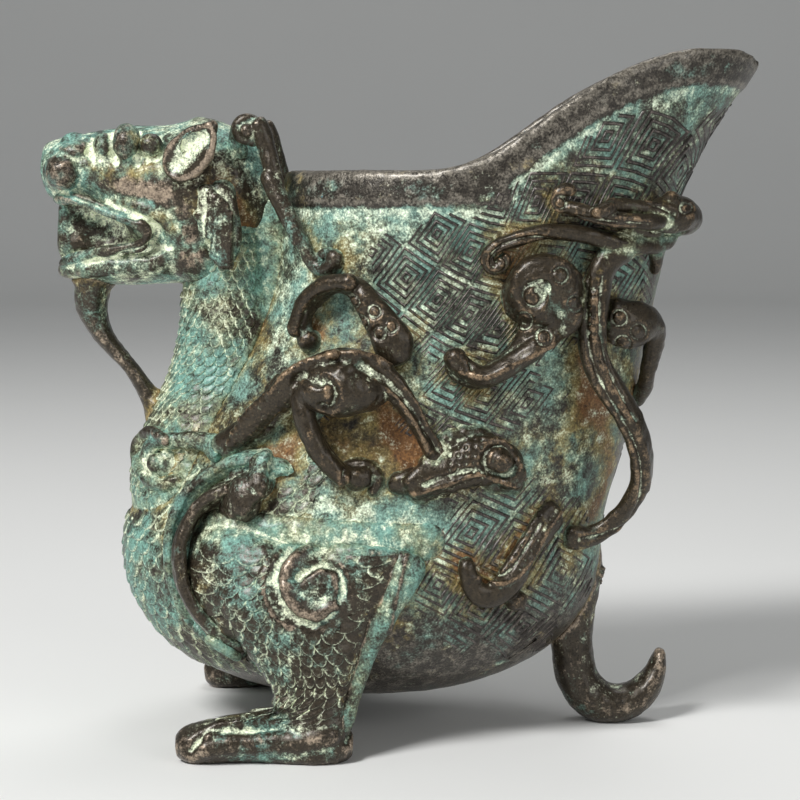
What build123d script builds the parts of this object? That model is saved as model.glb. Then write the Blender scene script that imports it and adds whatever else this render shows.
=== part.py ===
"""Beast-shaped bronze pouring cup on three feet, with small dragons climbing its wall.

The cup opens upwards and rises to a broad pouring lip at +X. A scaly beast's neck and head
stand at -X, its two forelegs carry the belly, and a hooked foot carries the rear. Every
ornament is a casting of its own that seats on the cup's wall, so each is cut by what carries it.
The frame has +Z up, the table at Z = 0 and the beast's left side at -Y.
"""

from build123d import *
import math
import os

# Cup: heights above the table, and the front, rear and half width of the oval at each height
WALL = 3.0
BASE_Z = 9.0
BELLY_Z, BELLY_FRONT, BELLY_REAR, BELLY_HALF = 40.0, -59.0, 43.0, 32.0
SHOULDER_Z, SHOULDER_FRONT, SHOULDER_REAR, SHOULDER_HALF = 64.0, -46.0, 48.5, 30.0
WAIST_Z, WAIST_FRONT, WAIST_REAR, WAIST_HALF = 90.0, -29.0, 53.5, 27.5
RIM_Z, RIM_FRONT, RIM_REAR, RIM_HALF = 118.0, -23.0, 61.0, 28.0
LIP_Z, LIP_FRONT, LIP_REAR, LIP_HALF = 142.4, -8.0, 76.4, 24.0
DOME_DEPTH = 33.0
DOME_POWER = 2.3
SECTION_STEP = 9.0

# Rim: how it climbs to the pouring lip, and the smooth raised band below it
LIP_RISE_X = 28.0
LIP_CREST_X = 60.0
LIP_TIP_DROP = 4.0
BAND_HEIGHT = 7.0
BAND_PROUD = 0.7
BAND_CORNER_X = 21.0

# Beast's head: its reference point, and the openings and swellings on it
HEAD_X, HEAD_Z = -50.0, 113.0
EYE_R = 2.4
NOSTRIL_R = 4.2
NOSE_BUMP_R = 3.0
LIP_R = 1.2
EAR_WALL = 1.0

# Curl on the breast, from its middle to the middle of its outermost turn
SCROLL_R = 4.4

# Feet
PAW_LENGTH = 31.0
PAW_HALF_WIDTH = 5.4
HAUNCH_BEARING, HAUNCH_Z = 108.0, 36.0
TENON_R = 4.0
TENON_DEPTH = 1.8

# Ends of every cast limb are rounded over this share of their half thickness
CAP_REACH = 0.6
CAP_SHARE = 0.55

# Stops along a limb: how much wider a gap between them may be than the next, and the least gap divided
SPACING_RATIO = 1.8
LEAST_SPACING = 2.0

CUP_STATIONS = [
    (BELLY_Z, BELLY_FRONT, BELLY_REAR, BELLY_HALF),
    (SHOULDER_Z, SHOULDER_FRONT, SHOULDER_REAR, SHOULDER_HALF),
    (WAIST_Z, WAIST_FRONT, WAIST_REAR, WAIST_HALF),
    (RIM_Z, RIM_FRONT, RIM_REAR, RIM_HALF),
    (LIP_Z, LIP_FRONT, LIP_REAR, LIP_HALF),
]
UP = Vector(0, 0, 1)
FRONTWARD = Vector(-1, 0, 0)
LEFTWARD = Vector(0, -1, 0)
HEAD = Vector(HEAD_X, 0, HEAD_Z)
LARGE = 400.0


# The cup's oval sections


def eased(z, column):
    """A station value at height z, on a smooth curve that starts upright at the belly."""
    heights = [row[0] for row in CUP_STATIONS]
    values = [row[column] for row in CUP_STATIONS]
    last = len(heights) - 1
    at = min(max(i for i in range(last) if heights[i] <= z or i == 0), last - 1)

    def slope(i):
        if i == 0:
            return 0.0
        upper = min(i + 1, last)
        return (values[upper] - values[i - 1]) / (heights[upper] - heights[i - 1])

    span = heights[at + 1] - heights[at]
    t = (z - heights[at]) / span
    start = (1 + 2 * t) * (1 - t) ** 2 * values[at] + t * (1 - t) ** 2 * span * slope(at)
    end = t * t * (3 - 2 * t) * values[at + 1] + t * t * (t - 1) * span * slope(at + 1)
    return start + end


def cup_oval(z, inset=0.0):
    """Centre, half length and half width of the cup's oval at height z, drawn in by inset."""
    if z < BELLY_Z:
        depth = (BELLY_Z - z) / (DOME_DEPTH - inset)
        share = (1 - min(depth, 1.0) ** DOME_POWER) ** (1 / DOME_POWER)
    else:
        share = 1.0
    level = max(z, BELLY_Z)
    front, rear = eased(level, 1), eased(level, 2)
    centre, half_length, half_width = (front + rear) / 2, (rear - front) / 2, eased(level, 3)
    return centre, (half_length - inset) * share, (half_width - inset) * share


def cup_solid(inset=0.0):
    """The cup's outer form as a solid, or a smaller one inside it."""
    bottom = BASE_Z + inset
    dome_steps = 5
    heights = [bottom + (BELLY_Z - bottom) * (i / dome_steps) ** 1.6 for i in range(dome_steps)]
    wall_steps = math.ceil((LIP_Z - BELLY_Z) / SECTION_STEP)
    heights += [BELLY_Z + (LIP_Z - BELLY_Z) * i / wall_steps for i in range(wall_steps + 1)]
    sections = []
    for z in heights:
        centre, half_length, half_width = cup_oval(z, inset)
        sections.append(Pos(centre, 0, z) * Ellipse(half_length, half_width))
    return loft(sections)


def wall_point(bearing, z):
    """A point of the outer wall: bearing 0 is the rear, 90 the left side and 180 the front."""
    centre, half_length, half_width = cup_oval(z)
    turn = math.radians(bearing)
    return Vector(centre + half_length * math.cos(turn), -half_width * math.sin(turn), z)


def wall_normal(bearing, z):
    """The outward direction of the wall there."""
    step = 0.05
    around = wall_point(bearing + step, z) - wall_point(bearing - step, z)
    climb = wall_point(bearing, z + step) - wall_point(bearing, z - step)
    return around.cross(climb).normalized() * -1


def off_wall(bearing, z, lift):
    return wall_point(bearing, z) + wall_normal(bearing, z) * lift


# Cast limbs: lofts through ellipses along a line of stops


def spacing(stops, i):
    return (stops[i + 1][0] - stops[i][0]).length


def midway(stops, i):
    """A stop half way from stop i to the next, on the smooth curve through them."""
    last = len(stops) - 1

    def course(k):
        before, after = max(k - 1, 0), min(k + 1, last)
        span = sum(spacing(stops, j) for j in range(before, after))
        return (stops[after][0] - stops[before][0]) * (1 / span)

    start, end = stops[i], stops[i + 1]
    bulge = (course(i) - course(i + 1)) * (spacing(stops, i) / 8)
    point = (start[0] + end[0]) * 0.5 + bulge
    out = (start[1] + end[1]).normalized()
    return point, out, (start[2] + end[2]) / 2, (start[3] + end[3]) / 2


def graded(stops):
    """The stops, with more put in wherever their spacing changes so quickly that a loft would swing wide."""
    stops = list(stops)
    i = 0
    while i < len(stops) - 1:
        near = range(max(i - 1, 0), min(i + 2, len(stops) - 1))
        closest = min(spacing(stops, j) for j in near)
        if spacing(stops, i) > max(SPACING_RATIO * closest, LEAST_SPACING):
            stops.insert(i + 1, midway(stops, i))
            i = max(i - 1, 0)
        else:
            i += 1
    return stops


def limb(stops):
    """A tapering cast limb with rounded ends, through stops of (point, out, half side, half out)."""
    stops = graded(stops)
    points = [stop[0] for stop in stops]
    last = len(points) - 1
    courses = [
        (points[min(i + 1, last)] - points[max(i - 1, 0)]).normalized() for i in range(last + 1)
    ]

    def section(stop, course, shift=0.0, share=1.0):
        point, out, half_side, half_out = stop
        plane = Plane(origin=point + course * shift, x_dir=course.cross(out), z_dir=course)
        return plane * Ellipse(half_side * share, half_out * share)

    first_cap = min(stops[0][2:]) * CAP_REACH
    last_cap = min(stops[-1][2:]) * CAP_REACH
    sections = [section(stops[0], courses[0], -first_cap, CAP_SHARE)]
    sections += [section(stop, course) for stop, course in zip(stops, courses)]
    sections.append(section(stops[-1], courses[-1], last_cap, CAP_SHARE))
    return loft(sections)


def wall_stops(rows):
    """Stops from rows of bearing, height, lift off the wall, half side and half out."""
    return [
        (off_wall(bearing, z, lift), wall_normal(bearing, z), half_side, half_out)
        for bearing, z, lift, half_side, half_out in rows
    ]


def wall_limb(rows):
    return limb(wall_stops(rows))


def head_stops(rows, out):
    """Stops from rows of a place measured from the head's reference point, half side and half out."""
    return [(HEAD + Vector(x, y, z), out, half_side, half_out) for x, y, z, half_side, half_out in rows]


def scroll_rows(bearing, z, radius, start, turns, lift, thick):
    """Rows of a curl on the wall that tightens to a knob, from start degrees, anticlockwise if turns > 0."""
    shrink = 0.28
    steps = math.ceil(abs(turns) * 9)
    along = (wall_point(bearing + 0.5, z) - wall_point(bearing - 0.5, z)).length
    rows = []
    for i in range(steps + 1):
        turn = math.radians(start + 360 * turns * i / steps)
        reach = radius * (1 - (1 - shrink) * i / steps)
        rows.append(
            (bearing - reach * math.cos(turn) / along, z + reach * math.sin(turn), lift, thick, thick)
        )
    return rows


def mirrored(solid):
    return mirror(solid, about=Plane.XZ)


# The cup


def rim_profile(drop=0.0):
    """Side view of the rim, lowered by drop, as a face that covers everything above it."""
    rise = LIP_Z - RIM_Z
    front = Vector(-LARGE, RIM_Z - drop)
    level_end = Vector(LIP_RISE_X - rise, RIM_Z - drop)
    half_way = Vector(LIP_RISE_X + 2, RIM_Z + rise * 0.46 - drop)
    crest = Vector(LIP_CREST_X, LIP_Z - drop)
    tip = Vector(LIP_REAR, LIP_Z - LIP_TIP_DROP - drop)
    beyond = Vector(LIP_REAR + LIP_TIP_DROP, LIP_Z - 2.5 * LIP_TIP_DROP - drop)
    climb = Spline(
        level_end, half_way, crest, tip, beyond, tangents=[Vector(1, 0), Vector(1, -1)]
    )
    outline = [
        Line(front, level_end),
        climb,
        Polyline(beyond, Vector(LARGE, beyond.Y), Vector(LARGE, LARGE), Vector(-LARGE, LARGE), front),
    ]
    return make_face(outline)


def above_rim(drop=0.0):
    return extrude(Plane.XZ * rim_profile(drop), LARGE / 2, both=True)


def below_band():
    """Everything lower than the band: level as far as its corner, then along the climbing rim."""
    level = Box(LARGE, LARGE, LARGE).moved(
        Location((BAND_CORNER_X - LARGE / 2, 0, RIM_Z - BAND_HEIGHT - LARGE / 2))
    )
    climbing = Box(LARGE, LARGE, LARGE).moved(Location((BAND_CORNER_X + LARGE / 2, 0, 0)))
    return level + (climbing - above_rim(BAND_HEIGHT))


def make_rimmed(outer):
    """The cup's outer form with the band round its rim."""
    return outer + (cup_solid(-BAND_PROUD) - below_band()) - above_rim()


# The beast's neck, head and beard


def make_neck():
    rows = [
        (-43.0, 50.0, 17.0, 14.0),
        (-42.5, 62.0, 14.5, 12.0),
        (-38.7, 74.0, 12.5, 10.3),
        (-36.6, 85.0, 12.0, 9.9),
        (HEAD_X + 14.0, HEAD_Z - 17.0, 11.5, 9.8),
        (HEAD_X + 13.5, HEAD_Z - 6.0, 10.5, 8.5),
    ]
    return limb([(Vector(x, 0, z), FRONTWARD, half_y, half_x) for x, z, half_y, half_x in rows])


def make_skull():
    rows = [
        (18.0, 0, 1.5, 10.8, 12.6),
        (12.0, 0, 0.5, 13.0, 15.4),
        (4.0, 0, 0.0, 13.3, 15.8),
        (-3.0, 0, 2.5, 12.2, 12.8),
        (-10.0, 0, 5.0, 10.5, 9.3),
        (-16.0, 0, 5.6, 9.3, 7.2),
        (-21.0, 0, 5.2, 7.8, 6.5),
    ]
    return limb(head_stops(rows, UP))


def make_mouth_web():
    """The wall that closes the back of the mouth between the two cheeks."""
    rows = [(0, 0, -8.5, 5.0, 5.5), (-10, 0, -7.2, 4.0, 6.0), (-20.0, 0, -6.8, 3.5, 7.4)]
    return limb(head_stops(rows, UP))


def make_brow():
    rows = [
        (-12.5, -6.8, 9.8, 1.7, 1.7),
        (-8.5, -7.8, 10.8, 2.4, 2.3),
        (-5.0, -8.8, 10.8, 2.2, 2.1),
    ]
    return limb(head_stops(rows, LEFTWARD))


def make_head(neck, cup):
    nostril = Pos(*(HEAD + Vector(-20.0, -5.2, 4.5))) * Sphere(NOSTRIL_R)
    nose_bump = Pos(*(HEAD + Vector(-18.0, -3.6, 10.0))) * Sphere(NOSE_BUMP_R)
    solid = make_skull() + make_mouth_web()
    for feature in (make_brow(), nostril, nose_bump):
        solid = solid + feature + mirrored(feature)
    return solid - neck - cup


def make_lower_jaw(head, neck):
    rows = [
        (6.0, 0, -12.5, 11.0, 6.0),
        (-2.0, 0, -14.2, 10.3, 4.6),
        (-10.0, 0, -14.8, 8.8, 4.2),
        (-17.0, 0, -15.4, 7.2, 2.8),
        (-20.5, 0, -15.7, 5.5, 2.0),
    ]
    return limb(head_stops(rows, UP)) - head - neck


def make_lip(head, jaw):
    """The rolled edge of the mouth: back along the upper jaw, round the corner, forward again."""
    rows = [
        (-21.5, -4.6, -0.8),
        (-16.8, -8.2, -0.9),
        (-11.0, -10.0, -3.0),
        (-5.5, -11.4, -5.2),
        (-2.0, -12.0, -7.4),
        (-2.6, -11.6, -9.9),
        (-6.5, -10.6, -11.0),
        (-11.0, -9.2, -11.6),
        (-16.5, -7.2, -12.8),
        (-20.5, -4.6, -14.4),
    ]
    stops = head_stops([(*row, LIP_R, LIP_R) for row in rows], LEFTWARD)
    return limb(stops) - head - jaw


def make_eye(head):
    return Pos(*(HEAD + Vector(-1.2, -10.0, 10.2))) * Sphere(EYE_R) - head


def make_ear(head):
    rows = [
        (5.0, -12.6, 5.4, 1.6, 1.3),
        (7.4, -14.6, 8.4, 3.5, 2.0),
        (9.8, -15.8, 11.4, 3.1, 1.8),
        (12.4, -16.4, 14.4, 1.0, 0.9),
    ]
    hollow = [
        (x, y - EAR_WALL, z, half_side - EAR_WALL, half_out - 0.4 * EAR_WALL)
        for x, y, z, half_side, half_out in rows[1:3]
    ]
    return limb(head_stops(rows, LEFTWARD)) - limb(head_stops(hollow, LEFTWARD)) - head


def make_cheek_frill(head, neck, jaw):
    rows = [
        (13.0, -12.0, 2.0, 2.4, 1.5),
        (14.0, -13.0, -4.0, 3.1, 1.8),
        (14.6, -12.9, -9.5, 3.0, 1.7),
        (14.2, -12.4, -13.5, 1.7, 1.4),
    ]
    return limb(head_stops(rows, LEFTWARD)) - head - neck - jaw


def make_mane_lock(head, cup):
    """The lock that curls at the crown and runs down to a knob on the cup's wall."""
    crown = [
        (17.2, -8.4, 8.6, 1.5, 1.5),
        (16.4, -10.2, 11.8, 1.6, 1.6),
        (17.8, -11.6, 14.4, 1.8, 1.7),
        (20.6, -12.4, 14.4, 1.9, 1.8),
        (22.4, -13.0, 10.8, 1.9, 1.8),
        (23.6, -13.8, 6.6, 1.8, 1.7),
        (25.4, -15.2, 0.0, 1.7, 1.6),
    ]
    foot = [
        (147.0, 105.8, 2.9, 1.6, 1.5),
        (141.8, 101.0, 1.9, 1.5, 1.4),
        (137.2, 98.2, 1.3, 1.5, 1.4),
        (133.0, 98.8, 1.2, 1.6, 1.4),
        (131.6, 101.0, 1.0, 1.7, 1.4),
    ]
    return limb(head_stops(crown, LEFTWARD) + wall_stops(foot)) - head - cup


def make_beard(jaw, neck, cup):
    """The strut from the chin to the breast, with room for a finger behind it."""
    chin = [(-14.6, 0, -17.2, 5.0, 3.4), (-15.2, 0, -22.5, 4.6, 3.6), (-13.4, 0, -28.8, 3.4, 2.3)]
    breast = [
        (Vector(-59.4, 0, 79.0), 2.7, 1.7),
        (Vector(-55.6, 0, 74.2), 2.6, 1.7),
        (Vector(-52.8, 0, 69.4), 3.0, 2.3),
        (Vector(-50.4, 0, 64.0), 3.6, 2.8),
    ]
    stops = head_stops(chin, FRONTWARD)
    stops += [(point, FRONTWARD, half_y, half_x) for point, half_y, half_x in breast]
    return limb(stops) - jaw - neck - cup


# The forelegs and the rear foot


def foreleg_tenon():
    """The peg that keys a foreleg into its socket in the wall."""
    seat = off_wall(HAUNCH_BEARING, HAUNCH_Z, -TENON_DEPTH)
    peg = Plane(origin=seat, z_dir=wall_normal(HAUNCH_BEARING, HAUNCH_Z))
    return extrude(peg * Circle(TENON_R), TENON_DEPTH + 2)


def rear_tenon():
    seat = off_wall(0, HAUNCH_Z - 4, -TENON_DEPTH)
    peg = Plane(origin=seat, z_dir=wall_normal(0, HAUNCH_Z - 4))
    return extrude(peg * Circle(TENON_R / 2), TENON_DEPTH + 1)


def ankle_point():
    """Where the foreleg's middle line stands beside the belly, level with its widest oval."""
    return off_wall(HAUNCH_BEARING - 7, BELLY_Z, 0.6)


def below_table():
    return Pos(0, 0, -LARGE / 2) * Box(LARGE, LARGE, LARGE)


def make_foreleg(cup):
    haunch = wall_limb(
        [
            (133.0, 38.0, -0.8, 7.0, 3.0),
            (123.0, HAUNCH_Z, 0.4, 10.8, 5.0),
            (HAUNCH_BEARING, HAUNCH_Z - 3.0, 0.8, 10.8, 6.0),
            (94.0, HAUNCH_Z - 1.5, 0.4, 8.8, 5.4),
            (82.0, HAUNCH_Z + 3.5, -0.6, 4.4, 3.6),
        ]
    )
    ankle = ankle_point()
    shank_rows = [
        (-1.5, 34.0, 17.0, 6.0),
        (-0.6, 25.0, 13.0, 6.2),
        (0.6, 16.0, 8.4, 5.8),
        (0.8, 9.5, 7.2, 5.6),
        (0.4, 3.0, 8.0, 5.6),
    ]
    shank = limb(
        [(Vector(ankle.X + x, ankle.Y, z), LEFTWARD, half_x, half_y) for x, z, half_x, half_y in shank_rows]
    )
    heel_x = 6.0
    paw_rows = [
        (heel_x, 3.4, 4.6, 4.0),
        (heel_x - 0.4 * PAW_LENGTH, 4.2, 5.2, 5.0),
        (heel_x - 0.78 * PAW_LENGTH, 4.0, PAW_HALF_WIDTH, 4.6),
        (heel_x - PAW_LENGTH, 3.2, 4.6, 3.6),
    ]
    paw = limb(
        [(Vector(ankle.X + x, ankle.Y, z), UP, half_y, half_z) for x, z, half_y, half_z in paw_rows]
    )
    leg = haunch + shank + paw - cup - below_table()
    return leg + foreleg_tenon()


def make_leg_fin(cup, leg):
    """The blade along the back of the leg, from the haunch's corner to the heel."""
    ankle = ankle_point()
    stops = wall_stops([(79.0, 41.0, 1.0, 3.4, 2.2), (81.5, 36.0, 2.0, 3.6, 2.4)])
    rows = [(13.0, 27.0, 2.6, 2.2), (8.4, 14.0, 1.8, 1.9), (5.6, 4.0, 1.0, 1.4)]
    stops += [
        (Vector(ankle.X + x, ankle.Y - 1.0, z), LEFTWARD, half_side, half_out)
        for x, z, half_side, half_out in rows
    ]
    return limb(stops) - cup - leg - below_table()


def make_rear_foot(cup):
    """A keel down the rear wall that leaves it as a broad hook and stands on its bend."""
    rows = [
        (41.6, 38.5, 2.0, 1.4),
        (40.4, 30.0, 3.2, 2.6),
        (37.8, 21.0, 4.4, 3.8),
        (37.4, 12.5, 5.0, 4.5),
        (40.6, 5.8, 5.4, 4.6),
        (46.8, 3.7, 5.4, 4.1),
        (51.8, 6.0, 4.6, 3.5),
        (55.0, 10.8, 3.2, 2.3),
        (56.0, 15.0, 1.8, 1.2),
    ]
    hook = limb([(Vector(x, 0, z), LEFTWARD, half_in, half_y) for x, z, half_y, half_in in rows])
    return hook - cup - below_table() + rear_tenon()


# Bands on the breast


def make_breast_scroll(cup, neck, dragon_torso):
    """A band from the side that curls to a knob on the breast, where the neck leaves the cup."""
    lead = wall_stops([(139.5, 60.8, 0.7, 2.2, 1.4), (145.5, 62.2, 1.2, 2.1, 1.6)])
    centre = Vector(-49.4, -13.4, 58.4)
    out = Vector(-0.55, -0.83, 0)
    along = Vector(0.83, -0.55, 0)
    steps = 9
    curl = []
    for i in range(steps + 1):
        turn = math.radians(72 + 330 * i / steps)
        reach = SCROLL_R * (1 - 0.7 * i / steps)
        point = centre + along * (reach * math.cos(turn)) + UP * (reach * math.sin(turn))
        curl.append((point, out, 1.6, 1.8))
    return limb(lead + curl) - cup - neck - dragon_torso


def make_wing_rib_outer(cup, leg):
    rows = [
        (124.0, 60.2, 0.5, 1.5, 1.2),
        (134.5, 57.2, 0.9, 1.6, 1.5),
        (138.4, 51.0, 1.0, 1.5, 1.5),
        (138.2, 43.2, 1.0, 1.4, 1.5),
        (136.8, 35.4, 1.0, 1.4, 1.5),
        (132.0, 27.6, 1.0, 1.3, 1.4),
        (125.0, 20.6, 0.6, 1.1, 1.2),
    ]
    return wall_limb(rows) - cup - leg


def make_wing_rib_inner(cup, leg, rib_outer):
    rows = [
        (126.8, 54.2, 1.4, 1.5, 1.7),
        (131.6, 50.4, 2.0, 1.5, 2.0),
        (133.2, 43.6, 2.9, 1.4, 2.3),
        (132.0, 35.8, 3.3, 1.4, 2.4),
        (127.4, 28.4, 3.2, 1.4, 2.3),
        (121.0, 21.6, 2.4, 1.3, 2.1),
    ]
    return wall_limb(rows) - cup - leg - rib_outer


def make_wing_bud(cup, neighbours):
    """The two-lobed bud that closes the top of the wing."""
    upper = [(122.0, 58.0, 1.2, 1.8, 1.6), (117.5, 58.6, 1.2, 2.2, 1.6), (113.5, 58.0, 0.8, 1.0, 1.0)]
    lower = [(122.5, 54.0, 1.6, 2.2, 2.0), (120.0, 51.6, 1.8, 2.6, 2.2), (119.4, 48.4, 1.4, 1.6, 1.4)]
    stalk = [(119.5, 57.0, 1.2, 1.6, 1.6), (119.0, 53.5, 1.6, 1.8, 1.8)]
    bud = wall_limb(upper) + wall_limb(lower) + wall_limb(stalk)
    for neighbour in (cup, *neighbours):
        bud = bud - neighbour
    return bud


# The dragon that climbs each side


def make_side_dragon(cup):
    """Torso with its spine, the foreleg that reaches down, the one that reaches up, and the tail."""
    spine = wall_limb(
        [
            (141.0, 61.5, 0.8, 1.7, 1.4),
            (134.8, 64.9, 2.2, 2.0, 1.6),
            (127.8, 71.1, 4.4, 2.2, 1.8),
            (121.2, 76.4, 6.0, 2.6, 2.1),
            (113.0, 78.7, 7.2, 2.9, 2.4),
            (102.3, 76.6, 6.2, 2.6, 2.1),
            (93.7, 71.4, 5.0, 2.3, 1.8),
            (85.5, 64.8, 3.0, 2.0, 1.6),
            (80.8, 60.6, 1.2, 1.7, 1.4),
        ]
    )
    barrel = wall_limb(
        [
            (118.0, 72.8, 5.0, 3.4, 2.8),
            (113.6, 73.4, 6.2, 5.0, 3.9),
            (107.4, 74.0, 6.4, 5.3, 4.1),
            (102.0, 74.4, 5.2, 3.8, 3.0),
        ]
    )
    torso = spine + barrel - cup
    lower_leg = wall_limb(
        [
            (115.4, 72.0, 5.6, 3.0, 2.4),
            (114.6, 68.0, 5.6, 2.4, 2.1),
            (110.6, 63.8, 4.8, 1.8, 1.7),
            (105.2, 60.2, 3.4, 1.6, 1.5),
            (100.2, 57.6, 2.0, 1.7, 1.5),
            (95.4, 57.2, 1.2, 2.1, 1.5),
        ]
    )
    upper_leg = wall_limb(
        [
            (101.6, 80.6, 2.0, 3.3, 2.2),
            (108.4, 86.2, 2.8, 3.7, 2.6),
            (115.6, 91.0, 3.4, 2.9, 2.3),
            (122.4, 94.8, 3.4, 2.2, 1.9),
            (128.6, 94.8, 3.2, 2.0, 1.7),
            (133.4, 91.8, 2.9, 1.9, 1.6),
            (135.4, 87.4, 2.2, 1.8, 1.5),
            (133.0, 84.2, 1.3, 2.0, 1.5),
        ]
    )
    tail = wall_limb(
        [
            (88.6, 55.6, 0.6, 1.5, 1.0),
            (81.6, 57.0, 1.0, 2.4, 1.5),
            (74.0, 59.0, 1.3, 3.2, 1.8),
            (67.6, 61.0, 1.5, 3.6, 2.0),
            (62.8, 60.0, 1.7, 3.0, 2.0),
            (60.4, 56.8, 1.6, 1.8, 1.6),
        ]
    )
    return {
        "torso": torso,
        "lower_leg": lower_leg - torso - cup,
        "upper_leg": upper_leg - torso - cup,
        "tail": tail - torso - cup,
    }


# The dragon at the rear whose tail is the cup's finger loop


def make_rear_dragon(cup, rimmed):
    body = wall_limb(
        [
            (45.0, 104.6, 3.6, 2.8, 2.3),
            (52.4, 100.2, 3.6, 2.9, 2.3),
            (53.9, 94.4, 3.8, 3.0, 2.3),
            (53.0, 88.4, 4.2, 3.1, 2.4),
            (50.5, 81.8, 5.2, 3.1, 2.3),
            (45.5, 76.0, 7.2, 3.1, 2.1),
            (38.1, 69.7, 9.6, 3.1, 2.0),
            (31.0, 62.2, 10.6, 3.0, 1.9),
            (24.4, 53.4, 8.8, 2.8, 1.9),
            (24.4, 46.4, 5.6, 2.6, 1.8),
            (28.6, 43.4, 2.8, 2.4, 1.7),
            (34.6, 43.0, 0.8, 2.2, 1.5),
        ]
    ) - cup
    head = wall_limb(
        [
            (46.0, 107.4, 3.8, 2.8, 2.6),
            (38.0, 109.2, 4.8, 4.0, 3.4),
            (30.5, 110.0, 5.4, 4.2, 3.6),
            (24.0, 109.4, 5.6, 3.2, 3.0),
            (20.0, 108.6, 5.2, 2.2, 2.2),
        ]
    )
    ear = wall_limb(
        [(56.0, 111.4, 3.2, 1.5, 1.4), (47.0, 111.2, 4.8, 1.7, 1.6), (40.0, 110.8, 5.4, 1.5, 1.5)]
    )
    head = head + ear - body - rimmed
    lower_horn = wall_limb(
        [
            (30.0, 105.6, 5.0, 1.4, 1.4),
            (40.0, 103.6, 5.4, 1.6, 1.6),
            (52.0, 104.4, 4.8, 1.7, 1.7),
            (63.8, 105.9, 2.9, 1.7, 1.7),
            (73.5, 105.9, 2.0, 1.6, 1.6),
            (80.6, 104.2, 1.4, 1.5, 1.5),
        ]
        + scroll_rows(83.2, 100.4, 2.9, 108.0, 0.75, 1.3, 1.35)
    ) - head - body - cup
    upper_horn = wall_limb(
        [
            (33.0, 109.2, 6.6, 1.3, 1.3),
            (44.5, 109.0, 7.6, 1.5, 1.5),
            (57.0, 109.2, 6.6, 1.6, 1.5),
            (63.6, 110.2, 4.8, 1.6, 1.5),
        ]
        + scroll_rows(69.0, 113.4, 2.6, -75.0, -0.6, 2.8, 1.4)
    ) - lower_horn - head - body - rimmed
    near_shoulder = wall_limb(
        [
            (60.5, 93.6, 2.2, 5.6, 3.2),
            (66.0, 93.6, 3.2, 7.8, 4.6),
            (72.0, 93.4, 3.2, 7.4, 4.6),
            (77.4, 92.6, 2.2, 4.8, 3.2),
        ]
    )
    near_leg = wall_limb(
        [
            (69.0, 88.0, 3.8, 3.2, 2.6),
            (70.4, 83.6, 3.8, 2.6, 2.3),
            (74.4, 79.0, 3.0, 2.2, 2.0),
            (79.0, 76.6, 2.2, 2.0, 1.8),
            (83.4, 77.4, 1.8, 2.0, 1.7),
            (87.0, 80.2, 1.6, 2.3, 1.7),
        ]
    )
    far_leg = wall_limb(
        [
            (44.0, 88.3, 2.4, 4.6, 3.0),
            (36.6, 87.2, 3.4, 5.0, 3.5),
            (30.0, 87.2, 4.0, 4.0, 3.0),
            (24.2, 85.6, 4.2, 2.5, 2.3),
            (20.2, 80.2, 3.6, 2.0, 1.9),
            (14.2, 74.4, 2.4, 1.8, 1.7),
            (8.0, 70.4, 1.0, 2.0, 1.5),
        ]
    )
    chin_tuft = wall_limb(
        [(38.4, 105.0, 4.2, 1.6, 1.5), (34.4, 101.4, 4.4, 1.5, 1.4), (32.0, 98.2, 3.8, 1.0, 1.0)]
    )
    tail_scroll = wall_limb(
        [
            (42.8, 49.6, 0.6, 2.2, 1.2),
            (46.8, 44.2, 1.0, 2.8, 1.5),
            (52.0, 38.8, 1.4, 2.9, 1.7),
            (56.6, 34.2, 1.6, 2.8, 1.8),
            (61.2, 33.2, 1.6, 2.5, 1.7),
            (64.6, 36.0, 1.3, 2.0, 1.5),
            (65.6, 39.8, 0.9, 1.4, 1.2),
        ]
    )
    return {
        "body": body,
        "head": head,
        "lower_horn": lower_horn,
        "upper_horn": upper_horn,
        "near_leg": near_shoulder + near_leg - body - lower_horn - cup,
        "far_leg": far_leg - body - cup,
        "chin_tuft": chin_tuft - head - body - lower_horn - cup,
        "tail_scroll": tail_scroll - body - cup,
    }


def make_pieces():
    """Every casting by its node name."""
    outer, inner = cup_solid(), cup_solid(WALL)
    rimmed = make_rimmed(outer)
    neck = make_neck() - outer
    head = make_head(neck, rimmed)
    jaw = make_lower_jaw(head, neck)
    leg = make_foreleg(outer)
    cup = rimmed - inner
    for peg in (foreleg_tenon(), mirrored(foreleg_tenon()), rear_tenon()):
        cup = cup - peg
    rib_outer = make_wing_rib_outer(outer, leg)
    rib_inner = make_wing_rib_inner(outer, leg, rib_outer)
    side_dragon = make_side_dragon(outer)
    pieces = {
        "cup": cup,
        "neck": neck,
        "head": head,
        "lower_jaw": jaw,
        "beard_strut": make_beard(jaw, neck, outer),
        "rear_foot": make_rear_foot(outer),
    }
    paired = {
        "lip": make_lip(head, jaw),
        "eye": make_eye(head),
        "ear": make_ear(head),
        "cheek_frill": make_cheek_frill(head, neck, jaw),
        "mane_lock": make_mane_lock(head, rimmed),
        "breast_scroll": make_breast_scroll(outer, neck, side_dragon["torso"]),
        "wing_rib_outer": rib_outer,
        "wing_rib_inner": rib_inner,
        "wing_bud": make_wing_bud(outer, (leg, rib_outer, rib_inner)),
        "foreleg": leg,
        "leg_fin": make_leg_fin(outer, leg),
    }
    for name, solid in side_dragon.items():
        paired["side_dragon_" + name] = solid
    for name, solid in paired.items():
        pieces["left_" + name] = solid
        pieces["right_" + name] = mirrored(solid)
    for name, solid in make_rear_dragon(outer, rimmed).items():
        pieces["rear_dragon_" + name] = solid
    return pieces


os.makedirs("parts", exist_ok=True)
for node, solid in make_pieces().items():
    export_step(solid, os.path.join("parts", node + ".step"))
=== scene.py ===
"""Looks of a beast-shaped bronze pouring cup: cast skins, scales, thunder lattice and patina."""

import math

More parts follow.
